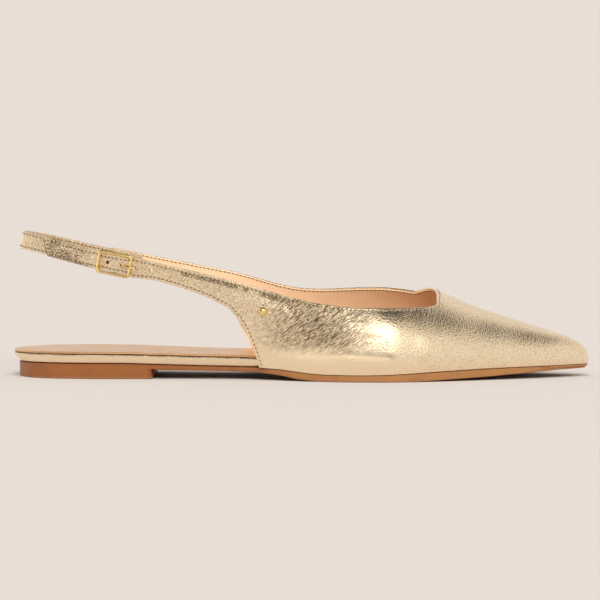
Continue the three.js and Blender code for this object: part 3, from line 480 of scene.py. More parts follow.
sock_leather, tree, shader, place_in_shoe = new_material("sock_leather", metallic=0.75)
speckle = place_relief(tree, pebble_grain, place_in_shoe, Cell=0.0006, Broken=0.5)
patches = noise_node(tree, place_in_shoe, 110.0, 3.0)
champagne = mix_node(tree, between_node(tree, patches, 0.3, 0.7), (0.65, 0.375, 0.178, 1), (0.72, 0.425, 0.208, 1))
# Painted shade in the hollows of the grain
champagne = mix_node(tree, all_of(speckle["Furrow Shade"], 0.3), champagne, (0.4, 0.22, 0.12, 1))
dress(tree, shader, champagne, between_node(tree, patches, 0.3, 0.7, 0.30, 0.40), speckle["Height"], 0.5, 0.06 * mm)
sock.data.materials.append(sock_leather)
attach(sock, "root")
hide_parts("insole_sock")

# Upper: vamp and both quarters, pulled over the last in foiled gold leather and turned under the board.
# The outer strap is cut in one with the outer quarter; the inner quarter ends in a short tail.
crown_height = 40.4 * mm
strap_top_height = 67.4 * mm
layer_gap = 0.45 * mm
wall_roundness = 2.2
ridge_shift = 5 * mm
belly = 1.3 * mm
full_belly_height = 30 * mm
inner_bottom_at = 110 * mm
strap_plan_back = 2.8 * mm
strap_plan_reach = 147 * mm
back_lean = 0.22
lean_ends_at = 44 * mm
wall_blend_start = 95 * mm
strap_tip_at = 13.8 * mm
tip_slant = 2.9 * mm
inner_tail_at = 44 * mm
buckle_at = 48.3 * mm
frame_length = 16.7 * mm
frame_width = 10.8 * mm
frame_wire = 1.4 * mm
strap_rise = 1.4 * mm
strap_play = 0.1 * mm
drawn_from = 0.6 * mm
drawn_until = 0.8 * mm
slant_starts_behind = 9.4 * mm
wall_free_height = 13.48 * mm
throat_blend = 50 * mm
throat_blend_rows = 60
vamp_length = 72 * mm
lining_inset = 0.3 * mm
rim_fine = np.array([0, 0.06, 0.2, 0.45, 0.8]) * mm
rim_fine_ends = 1.2 * mm


def side_curve(*rows):
    """A curve of the side view, from shares of the shoe's length and of the strap's top height."""
    at, up = np.array(rows).T
    return curve_through(at * shoe_length, up * strap_top_height)


crown_at, crown_up = np.array([
    (0.376, 1.634), (0.451, 1.584), (0.508, 1.51), (0.564, 1.411), (0.62, 1.292), (0.677, 1.146),
    (0.714, 1.045), (0.73, 1), (0.76, 0.921), (0.812, 0.777), (0.847, 0.7), (0.882, 0.624), (0.917, 0.552),
    (0.952, 0.478), (0.969, 0.433), (0.986, 0.366), (0.993, 0.322), (0.998, 0.272), (1, 0.215),
]).T
outer_top_at = side_curve(
    (0.011, 1), (0.053, 0.969), (0.096, 0.921), (0.132, 0.887), (0.215, 0.831), (0.289, 0.766),
    (0.335, 0.727), (0.382, 0.682), (0.439, 0.62), (0.496, 0.558), (0.519, 0.537), (0.553, 0.518),
    (0.599, 0.501), (0.654, 0.496), (0.711, 0.496), (0.729, 0.5), (0.735, 0.513),
)
outer_low_at = side_curve(
    (0.011, 0.868), (0.049, 0.841), (0.085, 0.807), (0.12, 0.773), (0.155, 0.74), (0.19, 0.709),
    (0.214, 0.691), (0.242, 0.68), (0.277, 0.65), (0.312, 0.608), (0.347, 0.556), (0.365, 0.522),
    (0.376, 0.499), (0.387, 0.457), (0.396, 0.418), (0.405, 0.366), (0.412, 0.31), (0.418, 0.254),
    (0.423, 0.197), (0.428, 0.141), (0.432, 0.086),
)
inner_top_at = side_curve(
    (0.011, 1), (0.053, 0.967), (0.15, 0.874), (0.182, 0.849), (0.252, 0.789), (0.32, 0.734),
    (0.391, 0.677), (0.425, 0.642), (0.459, 0.607), (0.495, 0.582), (0.53, 0.574), (0.602, 0.583),
    (0.635, 0.585), (0.671, 0.576), (0.689, 0.568), (0.699, 0.562),
)
inner_low_at = side_curve(
    (0.011, 0.868), (0.053, 0.837), (0.15, 0.746), (0.182, 0.72), (0.214, 0.691), (0.259, 0.648),
    (0.286, 0.619), (0.308, 0.585), (0.327, 0.552), (0.346, 0.51), (0.361, 0.467), (0.376, 0.414),
    (0.393, 0.288), (0.404, 0.197), (0.41, 0.141), (0.414, 0.086),
)
throat_turn, throat_at = np.array([
    (0, 0.735), (75, 0.735), (88, 0.732), (96, 0.728), (104, 0.722), (111, 0.715), (117, 0.708),
    (123, 0.699), (180, 0.699),
]).T
loop_at, loop_half = np.array([
    (0, 0), (0.075, 0.131), (0.129, 0.169), (0.19, 0.2), (0.252, 0.231), (0.367, 0.275), (0.49, 0.312),
    (0.605, 0.344), (0.728, 0.369), (0.864, 0.388), (1, 0.4),
]).T
rake_top, rake_lead = np.array([
    (0.355, 0), (0.37, 0.004), (0.389, 0.007), (0.408, 0.006), (0.419, 0.001), (0.442, -0.01),
    (0.47, -0.006), (0.5, 0),
]).T * shoe_length

edges_at = {outer_side: (outer_top_at, outer_low_at), inner_side: (inner_top_at, inner_low_at)}
# For each quarter: where its lower edge leaves the sole, its corner at the throat and its rear end
ends_at = {outer_side: (quarter_bottom_at, throat_at[0] * shoe_length, strap_tip_at),
           inner_side: (inner_bottom_at, throat_at[-1] * shoe_length, inner_tail_at)}
crown_at_turn = curve_through(turn_of(crown_at), crown_up * crown_height)
throat_start_at = curve_through(throat_turn, throat_at)
loop_half_at = curve_through(np.sqrt(loop_at), loop_half * ball_width)
lead_at = curve_through(rake_top, rake_lead)


def last_section(turn):
    """A cut across the last: its two feet, the ridge between them, and the heights of both."""
    outer = outline_point(turn, outer_side, wall + clearance)
    inner = outline_point(turn, inner_side, wall + clearance)
    half = (inner[1] - outer[1]) / 2
    x = (outer[0] + inner[0]) / 2
    y = (outer[1] + inner[1]) / 2 + ridge_shift * half / (ball_width / 2)
    return outer, inner, x, y, bed_at(x) + clearance, crown_at_turn(turn_of(x / shoe_length))


def belly_at(foot, top, up):
    """How far the wall swells out at a share of its height, most a quarter of the way up."""
    full = np.minimum(1, (top - foot) / full_belly_height)
    return belly * full * up * (1 - up)**3 / (0.25 * 0.75**3)


def last_point(turn, degrees):
    """A point of the last at an angle round it: 0 at the outer foot, 90 at the ridge, 180 inside."""
    outer, inner, x, y, foot, top = last_section(turn)
    angle = np.radians(degrees)
    fx, fy, nx, ny = (np.where(degrees < 90, a, b) for a, b in zip(outer, inner))
    spread = np.abs(np.cos(angle))**(2 / wall_roundness)
    up = np.abs(np.sin(angle))**(2 / wall_roundness)
    out = belly_at(foot, top, up)
    return np.stack([x + (fx - x) * spread + nx * out, y + (fy - y) * spread + ny * out,
                     foot + (top - foot) * up], -1)


def degrees_at_height(turn, height):
    _, _, _, _, foot, top = last_section(turn)
    return np.degrees(np.arcsin(np.clip((height - foot) / (top - foot), 0, 1)**(wall_roundness / 2)))


def loop_half_and_spread(x):
    """Half the width of the strap's loop at a place, and how fast it widens there."""
    def half_at(at):
        return loop_half_at(np.sqrt(np.maximum(at - strap_plan_back, 0) / strap_plan_reach))

    step = 0.05 * mm
    return half_at(x), (half_at(x + step) - half_at(x - step)) / (2 * step)


def lean_at(x):
    """How far the sling leans in over the heel, as a share of its height."""
    return back_lean * (1 - smooth_step(0, lean_ends_at, x))


def outer_middle_at(x):
    return (outer_top_at(x) + outer_low_at(x)) / 2


buckle_half, buckle_spread = loop_half_and_spread(buckle_at)
buckle_yaw = math.atan(buckle_spread)
beside_buckle = 6 * mm
buckle_fall = math.atan((outer_middle_at(buckle_at + beside_buckle) - outer_middle_at(buckle_at - beside_buckle))
                        / (2 * beside_buckle))
buckle_outwards = np.array([-math.sin(buckle_yaw), -math.cos(buckle_yaw), 0])
buckle_level = np.array([math.cos(buckle_yaw), -math.sin(buckle_yaw), 0])
buckle_stride = math.cos(buckle_yaw) * math.cos(buckle_fall)
inner_frame_half = frame_length / 2 - frame_wire


def rise_at(ahead):
    share = np.minimum(np.abs(ahead) / inner_frame_half, 1)
    return strap_rise * np.cos(share * np.pi / 2)**2


def wall_y(x, z, side):
    """Y of the upper's outside at a place in the side view."""
    half, spread = loop_half_and_spread(x)
    ahead = ((x - buckle_at) / math.cos(buckle_yaw) * math.cos(buckle_fall)
             + (z - outer_middle_at(buckle_at)) * math.sin(buckle_fall))
    rise = rise_at(ahead) if side == outer_side else 0
    lean = lean_at(x) * (z - edges_at[side][1](x))
    strap_y = side * (half + (wall + layer_gap + rise - lean) * np.hypot(1, spread))
    outer, inner, _, y, foot, top = last_section(turn_of(x / board_length))
    edge = outer if side == outer_side else inner
    up = np.clip((z - foot) / (top - foot), 0, 1)
    last_y = y + (edge[1] - y) * (1 - up**wall_roundness)**(1 / wall_roundness) + edge[3] * belly_at(foot, top, up)
    free = smooth_step(0, wall_free_height, z - foot) * (1 - smooth_step(wall_blend_start, wall_blend_end, x))
    return np.where(x <= wall_blend_start, strap_y, last_y + (strap_y - last_y) * free)


def drawn_in(x):
    """The strap's edges are drawn in where it passes through the buckle's frame."""
    full = (outer_top_at(buckle_at) - outer_low_at(buckle_at)) / 2
    narrow = full - (frame_width / 2 - frame_wire - strap_play) / math.cos(buckle_fall)
    ahead = np.abs(x - buckle_at) / buckle_stride
    return narrow * (1 - smooth_step(inner_frame_half - drawn_from, inner_frame_half + drawn_until, ahead))


def rim_shares(length, count):
    """Places across a strip, close together at both rims and even between them."""
    even = np.linspace(rim_fine_ends, length - rim_fine_ends, count)
    return np.concatenate([rim_fine, even, (length - rim_fine)[::-1]]) / length


def quarter_grid(side, spacing, edge, inset):
    """Points of one quarter and its strap, front to back, from the lower to the upper edge."""
    top_at, low_at = edges_at[side]
    bottom_at, front, back = ends_at[side]
    top = np.linspace(front, back + inset, int((front - back) / spacing) + 1)[1:]
    low = top + lead_at(top - (bottom_at - quarter_bottom_at))
    low[np.abs(low - bottom_at).argmin()] = bottom_at
    drawn = drawn_in(top) if side == outer_side else 0 * top
    top_z = top_at(top) - drawn - inset
    low_z = np.where(low >= bottom_at, bed_at(low) + clearance, low_at(low) + drawn + inset)
    if side == outer_side:
        behind = buckle_at - slant_starts_behind
        slanted = top < behind
        share = np.clip((behind - top) / (behind - strap_tip_at), 0, 1)
        low = np.where(slanted, top + tip_slant * smooth_step(0, 1, share), low)
        top_z = np.where(slanted, outer_top_at(top) - inset, top_z)
        low_z = np.where(slanted, outer_low_at(low) + inset, low_z)
    edge_shares = (edge[:, 2] - edge[0, 2]) / (edge[-1, 2] - edge[0, 2])
    rows = [edge]
    gap = edge[:, 1] - wall_y(edge[:, 0], edge[:, 2], side)
    even_count = len(edge) - 2 * len(rim_fine)
    for i in range(len(top)):
        length = math.hypot(top_z[i] - low_z[i], top[i] - low[i])
        change = smooth_step(0, throat_blend_rows, i)
        shares = edge_shares * (1 - change) + rim_shares(length, even_count) * change
        x = low[i] + (top[i] - low[i]) * shares
        z = low_z[i] + (top_z[i] - low_z[i]) * shares
        y = wall_y(x, z, side) + gap * smooth_step(throat_blend, 0, edge[:, 0] - x)
        rows.append(np.stack([x, y, z], -1))
    return np.array(rows)


def upper_sheet(name, spacing, wall_count, throat_count, vamp_count, inset):
    """The upper's outside as one open sheet; inset draws its free edges in."""
    def turn_at(share):
        return turn_of((share * shoe_length + inset) / board_length)

    walls = []
    for share, top_at in ((throat_at[0], outer_top_at), (throat_at[-1], inner_top_at)):
        turn = turn_at(share)
        foot = last_section(turn)[4]
        corner = top_at(share * shoe_length) - inset
        heights = foot + (corner - foot) * rim_shares(corner - foot, wall_count)
        walls.append(degrees_at_height(turn, heights))
    outer_corner, inner_corner = walls[0][-1], 180 - walls[1][-1]
    middle = outer_corner + (inner_corner - outer_corner) * np.linspace(0, 1, throat_count + 1)[1:-1]
    degrees = np.concatenate([walls[0], middle, (180 - walls[1])[::-1]])
    even = np.linspace(0, 180, len(degrees))
    start = turn_at(throat_start_at(degrees))
    shares = np.concatenate([rim_fine, np.linspace(rim_fine_ends + 0.1 * mm, vamp_length, vamp_count)]) / vamp_length
    vamp = np.array([last_point(start + (np.pi - start) * s, degrees + (even - degrees) * s) for s in shares])
    count = wall_count + 2 * len(rim_fine)
    outer = quarter_grid(outer_side, spacing, vamp[0, :count], inset)
    inner = quarter_grid(inner_side, spacing, vamp[0, -count:][::-1], inset)
    return weld(name, [vamp, outer, inner])


upper_outside = upper_sheet("upper_outside", 0.8 * mm, wall_count=32, throat_count=60, vamp_count=90, inset=0)
upper_lining_face = upper_sheet("upper_lining_face", 1.2 * mm, wall_count=22, throat_count=40, vamp_count=60,
                                inset=lining_inset)
foot_middle = np.array([0, 4, 12]) * mm
on_bed_within = 0.02 * mm
rim_sample = 0.05 * mm


def sheet_facts(mesh):
    """Points, normals away from the foot, polygons and open edges of a sheet."""
    points = np.array([v.co for v in mesh.vertices])
    normals = np.array([n.vector for n in mesh.vertex_normals])
    if ((points - foot_middle)[:, 1:] * normals[:, 1:]).sum(axis=1).mean() < 0:
        mesh.flip_normals()
        normals = -normals
    polygons = [tuple(p.vertices) for p in mesh.polygons]
    edges = dict.fromkeys((a, b) for p in polygons for a, b in zip(p, p[1:] + p[:1]))
    return points, normals, polygons, [(a, b) for a, b in edges if (b, a) not in edges]


def bed_level(x):
    return bed_at(x - to_frame[0]) + clearance


def nearest_of(points):
    found = KDTree(len(points))
    for i, point in enumerate(points):
        found.insert(point, i)
    found.balance()
    return found


def distance_to_rim(points, open_edges):
    """How far each point is from the sheet's free edges, those that aren't on the sole."""
    on_bed = np.abs(points[:, 2] - bed_level(points[:, 0])) < on_bed_within
    free = [(a, b) for a, b in open_edges if not (on_bed[a] and on_bed[b])]
    fine = []
    for a, b in free:
        steps = max(1, int(np.linalg.norm(points[b] - points[a]) / rim_sample))
        fine += [points[a] + (points[b] - points[a]) * i / steps for i in range(steps + 1)]
    rim = nearest_of(fine)
    return np.array([rim.find(point)[2] for point in points]), free, on_bed


def thickened(name, mesh, start, end, rim, relief=None):
    """A closed shell between two depths inside a sheet, with a rounded free rim."""
    points, normals, polygons, open_edges = sheet_facts(mesh)
    from_rim, free, on_bed = distance_to_rim(points, open_edges)
    left = np.clip(rim - from_rim, 0, rim)
    roll = rim - np.sqrt(np.maximum(rim**2 - left**2, 0))
    raised = relief(points, from_rim) if relief else 0
    outside = points - normals * (start + roll - raised)[:, None]
    inside = points - normals * (end - roll)[:, None]
    for face in (outside, inside):
        face[on_bed, 2] = bed_level(face[on_bed, 0])
    count = len(points)
    faces = list(polygons) + [tuple(i + count for i in reversed(p)) for p in polygons]
    faces += [(b, a, a + count, b + count) for a, b in open_edges]
    shell = bpy.data.meshes.new(name)
    shell.from_pydata(np.concatenate([outside, inside]).tolist(), [], faces)
    mark(shell, "from_rim", np.concatenate([from_rim, from_rim]) / mm)
    return finished(shell, 0.004 * mm, 60)


# Creases, given in shares of the shoe's length and the strap's top height in the side view:
# from and to places, half width and rise in mm, of soft troughs (below zero) and ridges
outer_creases = [
    (0.538, 0.288, 0.760, 0.195, 4.0, -0.22), (0.560, 0.395, 0.700, 0.372, 5.0, 0.30),
    (0.556, 0.292, 0.634, 0.350, 1.5, 0.22), (0.560, 0.420, 0.626, 0.380, 1.3, 0.16),
    (0.500, 0.500, 0.545, 0.240, 5.5, -0.42), (0.470, 0.430, 0.520, 0.250, 2.2, 0.16),
    (0.300, 0.700, 0.430, 0.585, 2.4, -0.30), (0.430, 0.585, 0.520, 0.495, 2.8, -0.30),
    (0.575, 0.330, 0.650, 0.290, 1.4, -0.14), (0.520, 0.400, 0.560, 0.330, 1.4, -0.16),
    (0.760, 0.300, 0.900, 0.200, 5.0, -0.16),
]
inner_creases = [
    (0.500, 0.330, 0.700, 0.215, 4.5, -0.40), (0.540, 0.430, 0.660, 0.400, 4.5, 0.25),
    (0.470, 0.470, 0.520, 0.250, 5.0, -0.30), (0.555, 0.300, 0.625, 0.350, 1.6, 0.18),
    (0.300, 0.690, 0.420, 0.600, 2.4, -0.22), (0.590, 0.350, 0.660, 0.300, 1.5, -0.12),
]
stitch_inset = 1.4 * mm
# Rise, distance from the rim and half width of the bead along the rim and of the groove under the stitches
rim_bead = 0.03 * mm, 0.8 * mm, 0.5 * mm
stitch_groove = -0.11 * mm, stitch_inset, 0.4 * mm
creases_start = 2.5 * mm


def upper_relief(points, from_rim):
    """How far the leather stands proud of its smooth outside, at points in the frame."""
    x, y, z = (points - to_frame).T
    spots = np.stack([x, z], -1)
    section_y = last_section(turn_of(np.clip(x, 0, board_length) / board_length))[3]
    rise = sum(height * np.exp(-((from_rim - at) / width)**2) for height, at, width in (rim_bead, stitch_groove))
    inside = smooth_step(0, creases_start, from_rim)
    for creases, chosen in ((outer_creases, y < section_y), (inner_creases, y >= section_y)):
        for *ends, half_width, height in creases:
            start, end = np.array(ends).reshape(2, 2) * (shoe_length, strap_top_height)
            line = end - start
            along = np.clip((spots - start) @ line / (line @ line), 0, 1)
            off = np.linalg.norm(spots - start - along[:, None] * line, axis=1)
            faded = 0.25 + 0.75 * smooth_step(0, 0.3, along) * smooth_step(1, 0.7, along)
            rise += chosen * height * mm * np.exp(-(off / (half_width * mm))**2) * faded * inside
    return rise


leather_thickness = 0.9 * mm
leather_roll = 0.3 * mm
raw_edge_width = 0.4 * mm
upper = place(thickened("upper_leather", upper_outside, 0, leather_thickness, leather_roll, upper_relief))
tip = np.array([v.co for v in upper.data.vertices]) - to_frame
up_tip = (outer_top_at(strap_tip_at) - tip[:, 2]) / (outer_top_at(strap_tip_at) - outer_low_at(strap_tip_at))
from_tip = tip[:, 0] - strap_tip_at - tip_slant * np.clip(up_tip, 0, 1)
raw = np.clip(1 - np.abs(from_tip) / raw_edge_width, 0, 1) * (tip[:, 1] < 0)
mark(upper.data, "raw_edge", raw)
upper.data.materials.append(gold_leather)

# Lining: thin peach leather glued inside the upper, trimmed a little short of its edges.
lining_gap = 0.02 * mm
lining_roll = 0.22 * mm
lining = place(thickened("upper_lining", upper_lining_face, leather_thickness + lining_gap, wall, lining_roll))
peach_lining, tree, shader, place_in_shoe = new_material("peach_lining", roughness=0.55)
grain = place_relief(tree, pebble_grain, place_in_shoe, Cell=0.0005, Broken=0.7)
patches = noise_node(tree, place_in_shoe, 110.0)
peach = mix_node(tree, patches, (0.91, 0.60, 0.36, 1), (0.97, 0.69, 0.44, 1))
# Painted shade in the hollows of the grain
peach = mix_node(tree, all_of(grain["Furrow Shade"], 0.2), peach, (0.5, 0.26, 0.14, 1))
dress(tree, shader, peach, None, grain["Height"], 0.3, 0.05 * mm)
lining.data.materials.append(peach_lining)

# The strap's holes are punched through leather and lining alike
prong_hole_ahead = 3.6 * mm
hole_pitch = 7 * mm
hole_width = 1.7 * mm


def wall_point(x, z):
    return np.array([x, float(wall_y(np.array(x), np.array(z), outer_side)), z])


def modifiers_applied(piece):
    """Bakes a piece's modifiers into its mesh."""
    piece.data = bpy.data.meshes.new_from_object(piece.evaluated_get(bpy.context.evaluated_depsgraph_get()))
    piece.modifiers.clear()


turn = np.linspace(0, 2 * np.pi, 33)[:, None]
circle = hole_width / 2 * (np.cos(turn) * buckle_level + np.sin(turn) * np.array([0, 0, 1]))
punches = []
for hole in (-1, 0, 1, 2):
    x = buckle_at + (prong_hole_ahead + hole * hole_pitch) * buckle_stride
    middle = wall_point(x, float(outer_middle_at(x)))
    ends = ((wall, 0), (wall, 1), (-2 * wall, 1), (-2 * wall, 0))
    punches.append(np.array([middle + buckle_outwards * out + circle * size for out, size in ends]))
punch = place(weld("strap_punch", punches))
cut_leather, tree, shader, place_in_shoe = new_material("cut_leather", roughness=0.8)
fibres = noise_node(tree, place_in_shoe, 3000.0, 2.0)
dress(tree, shader, mix_node(tree, fibres, (0.12, 0.04, 0.015, 1), (0.26, 0.10, 0.04, 1)))
punch.data.materials.append(cut_leather)
for piece in (upper, lining):
    cut = piece.modifiers.new("punched", "BOOLEAN")
    cut.operation = "DIFFERENCE"
    cut.solver = "EXACT"
    cut.material_mode = "TRANSFER"
    cut.object = punch
    modifiers_applied(piece)
bpy.data.objects.remove(punch)
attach(upper, "root")
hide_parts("upper")
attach(lining, "root")

# Sling: a strip of the gold leather that runs from inside the inner tail, round the heel, to the buckle.
# Its end is folded round the buckle's bar and stitched back behind itself.
sling_thickness = 1.2 * mm
sling_lap = 14 * mm
bar_wire = 1.2 * mm
prong_wire = 0.9 * mm
turned_back = 9 * mm
sling_corner = 0.4 * mm
bend_before_frame = 1 * mm
inner_steps, outer_steps, bend_steps = 90, 70, 14
bar_radius = bar_wire / 2
sling_radius = bar_radius + clearance + sling_thickness / 2
bar_out = strap_rise - wall - layer_gap - sling_thickness - clearance - bar_radius
frame_out = layer_gap + frame_wire / 2
buckle_ahead = buckle_level * math.cos(buckle_fall) + np.array([0, 0, math.sin(buckle_fall)])
buckle_up = -np.cross(buckle_ahead, buckle_outwards)
buckle_middle = np.array([buckle_at, -(buckle_half + (wall + layer_gap) * math.hypot(1, buckle_spread)),
                          outer_middle_at(buckle_at)])


def at_buckle(ahead, up, out):
    return buckle_middle + buckle_ahead * ahead + buckle_up * up + buckle_outwards * out


def sling_path():
    """x, y, place along the loop, side, and share of the buckle's tilt at each point of the sling's middle."""
    path = []

    def share_of(x):
        return math.sqrt((x - strap_plan_back) / strap_plan_reach)

    def on_loop(x, side, lift, tilt):
        half, spread = loop_half_and_spread(x)
        size = math.hypot(1, spread)
        out = lift - sling_thickness / 2
        path.append((x - spread / size * out, side * (half + out / size), x, side, tilt))

    def place_of(share):
        return strap_plan_back + strap_plan_reach * share**2

    for share in np.linspace(share_of(inner_tail_at + sling_lap), 0, inner_steps + 1)[:-1]:
        on_loop(place_of(share), inner_side, 0, 0)
    path.append((strap_plan_back + sling_thickness / 2, 0, strap_plan_back, outer_side, 0))
    bend_start = buckle_at - (inner_frame_half + bend_before_frame) * buckle_stride
    for share in np.linspace(0, share_of(bend_start), outer_steps + 1)[1:]:
        on_loop(place_of(share), outer_side, 0, 0)
    for share in np.linspace(0, 1, bend_steps + 1)[1:-1]:
        x = bend_start + (buckle_at - bend_start) * share
        on_loop(x, outer_side, rise_at((x - buckle_at) / buckle_stride), smooth_step(0, 0.5, share))

    def fold(ahead, out):
        point = at_buckle(ahead, 0, out)
        path.append((point[0], point[1], point[0], outer_side, 1))

    for turn in np.linspace(math.pi / 2, -math.pi / 2, 15):
        fold(sling_radius * math.cos(turn), bar_out + sling_radius * math.sin(turn))
    behind = -wall - layer_gap - sling_thickness * 1.5 - clearance
    for run in np.linspace(0, 1, 13)[1:]:
        lift = smooth_step(0, 1, run)
        fold(-turned_back * run, (bar_out - sling_radius) * (1 - lift) + behind * lift)
    return path


def sling_steps():
    """Along the path: the strap's middle, half height, level way out of its face, and what the path says there."""
    path = sling_path()
    for i, (x, y, at, side, tilt) in enumerate(path):
        before, after = path[max(i - 1, 0)], path[min(i + 1, len(path) - 1)]
        run = math.hypot(after[0] - before[0], after[1] - before[1])
        outwards = np.array([after[1] - before[1], before[0] - after[0], 0]) / run
        top_at, low_at = edges_at[side]
        half = (top_at(at) - low_at(at)) / 2
        yield np.array([x, y, top_at(at) - half]), half - clearance, outwards, at, side, tilt


def sling_grids():
    side_out = sling_thickness / 2
    rows = []
    for middle, half, outwards, at, side, tilt in sling_steps():
        half -= drawn_in(at) if side == outer_side else 0
        across = half * math.cos(buckle_fall)
        height = half * (1 - tilt) + across * math.cos(buckle_fall) * tilt
        slide = -across * math.sin(buckle_fall) * tilt * buckle_level
        rounding = np.array([0, 0.25, 0.625, 1]) * sling_corner
        ends = [*(rounding - height), *np.linspace(-height, height, 9)[1:-1], *(height - rounding)[::-1]]
        row = []
        for face in (1, -1):
            for up in ends[::face]:
                left = max(sling_corner - (height - abs(up)), 0)
                roll = sling_corner - math.sqrt(max(sling_corner**2 - left**2, 0))
                push = face * (side_out - roll) - lean_at(at) * (up + height)
                row.append(middle + outwards * push + up / height * slide + np.array([0, 0, up]))
        rows.append(row + row[:1])
    rows = np.array(rows)
    half = len(row) // 2
    return [rows, *(np.array([end[:half], end[half:-1][::-1]]) for end in (rows[0], rows[-1]))]


sling = place(weld("sling_leather", sling_grids(), sharp=60))
sling.data.materials.append(gold_leather)
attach(sling, "root")
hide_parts("sling_strap")

# Stitches: rows of pale thread with needle holes between them, set in from every free edge; each hole is a flat disc
# painted dark as the shade inside it. They are seen on the leather and on the lining.
stitch_pitch = 1.95 * mm
thread_length = 1.35 * mm
thread_width = 0.42 * mm
needle_hole_shade = 0.72 * mm
inner_stitch_inset = 0.95 * mm
sling_stitch_inset = 1.3 * mm
sunk_in = 0.06 * mm
row_sample = 0.4 * mm
row_break = 4 * mm
under_tail = 1 * mm
smoothed_over = 5


def rim_row(mesh, inset):
    """Points and normals of a row set in from a sheet's free edge, in order."""
    points, normals, polygons, open_edges = sheet_facts(mesh)
    from_rim, free, on_bed = distance_to_rim(points, open_edges)
    after = dict(free)
    chain = [(set(after) - set(after.values())).pop()]
    while chain[-1] in after:
        chain.append(after[chain[-1]])
    line, out = points[chain], normals[chain]
    run = np.concatenate([[0], np.cumsum(np.linalg.norm(np.diff(line, axis=0), axis=1))])
    even = np.arange(0, run[-1], row_sample)
    line, out = (np.stack([np.interp(even, run, values[:, k]) for k in range(3)], -1) for values in (line, out))
    along = np.gradient(line, axis=0)
    inwards = np.cross(out, along)
    inwards /= np.linalg.norm(inwards, axis=1)[:, None]
    sheet = BVHTree.FromPolygons([tuple(p) for p in points], polygons)
    rim = nearest_of(line)
    trial = sheet.find_nearest(Vector(line[100] + inwards[100] * inset))[0]
    sign = 1 if rim.find(trial)[2] > inset * 0.8 else -1
    row, row_out = [], []
    for point, inward in zip(line, inwards * sign):
        spot, normal, _, _ = sheet.find_nearest(Vector(point + inward * inset))
        if rim.find(spot)[2] > inset * 0.9 and (not row or (spot - row[-1]).length > row_sample / 2):
            row.append(spot)
            row_out.append(normal)
    return np.array(row), np.array(row_out)


def sling_rows(inset):
    """Rows near both edges of the sling's outer face, from the inner tail to the buckle."""
    rows = []
    for edge in (-1, 1):
        row, row_out = [], []
        for middle, half, outwards, at, side, tilt in sling_steps():
            if side == inner_side and at > inner_tail_at + under_tail or tilt > 0:
                continue
            up = edge * (half - inset)
            push = sling_thickness / 2 - lean_at(at) * (up + half)
            row.append(middle + outwards * push + np.array([0, 0, up]) + to_frame)
            row_out.append(outwards)
        rows.append((np.array(row), np.array(row_out)))
    return rows


def smoothed(values, reach):
    kernel = np.ones(reach) / reach
    longer = np.pad(values, ((reach // 2, reach // 2), (0, 0)), mode="edge")
    return np.stack([np.convolve(longer[:, k], kernel, mode="valid") for k in range(3)], -1)


rows = []
for inset, depth, facing in ((stitch_inset, sunk_in, 1), (inner_stitch_inset, wall + lining_gap, -1)):
    row, out = rim_row(upper_outside, inset)
    out = smoothed(out, smoothed_over)
    rows.append((row - out * depth, out * facing))
for row, out in sling_rows(sling_stitch_inset):
    rows += [(row, out), (row - out * sling_thickness, -out)]
row_points, row_edges, row_outs = [], [], []
for row, out in rows:
    start = len(row_points)
    row_points += row.tolist()
    row_outs += out.tolist()
    gaps = np.linalg.norm(np.diff(row, axis=0), axis=1)
    row_edges += [(start + i, start + i + 1) for i in range(len(row) - 1) if gaps[i] < row_break]
stitch_lines = bpy.data.meshes.new("stitches")
stitch_lines.from_pydata(row_points, row_edges, [])
stitch_lines.attributes.new("out", "FLOAT_VECTOR", "POINT").data.foreach_set("vector", np.ravel(row_outs))
stitches = place(stitch_lines)

thread, tree, shader, place_in_shoe = new_material("thread", roughness=0.6)
strands = noise_node(tree, place_in_shoe, 2500.0, 2.0)
dress(tree, shader, mix_node(tree, strands, (0.34, 0.25, 0.14, 1), (0.58, 0.46, 0.29, 1)))
# Needle holes: flat discs painted dark for the shade inside the holes
shade_in_holes, tree, shader, place_in_shoe = new_material("needle_hole_shade", roughness=0.9)
depth = noise_node(tree, place_in_shoe, 900.0, 2.0)
dress(tree, shader, mix_node(tree, depth, (0.03, 0.015, 0.006, 1), (0.10, 0.05, 0.02, 1)))

# Along each row, a bead of thread at every pitch and, halfway between them, a needle hole as a flat disc of painted
# shade
tree = bpy.data.node_groups.new("stitching", "GeometryNodeTree")
tree.interface.new_socket("Rows", in_out="INPUT", socket_type="NodeSocketGeometry")
for label, value in (("Pitch", stitch_pitch), ("Thread Length", thread_length), ("Thread Width", thread_width),
                     ("Hole Width", needle_hole_shade)):
    tree.interface.new_socket(label, in_out="INPUT", socket_type="NodeSocketFloat").default_value = value
tree.interface.new_socket("Stitches", in_out="OUTPUT", socket_type="NodeSocketGeometry")
group_in = tree.nodes.new("NodeGroupInput").outputs
line = add_node(tree, "GeometryNodeMeshToCurve", {"Mesh": group_in["Rows"]}).outputs["Curve"]
line = add_node(tree, "GeometryNodeResampleCurve", {
    "Curve": line, "Length": group_in["Pitch"]}, mode="LENGTH").outputs["Curve"]
tangent = add_node(tree, "GeometryNodeInputTangent").outputs["Tangent"]
outwards = add_node(tree, "GeometryNodeInputNamedAttribute", {"Name": "out"}, data_type="FLOAT_VECTOR").outputs[0]
lying = add_node(tree, "FunctionNodeAlignRotationToVector", {"Vector": tangent}, axis="X").outputs["Rotation"]
lying = add_node(tree, "FunctionNodeAlignRotationToVector", {
    "Rotation": lying, "Vector": outwards}, axis="Z", pivot_axis="X").outputs["Rotation"]
made = tree.nodes.new("GeometryNodeJoinGeometry")
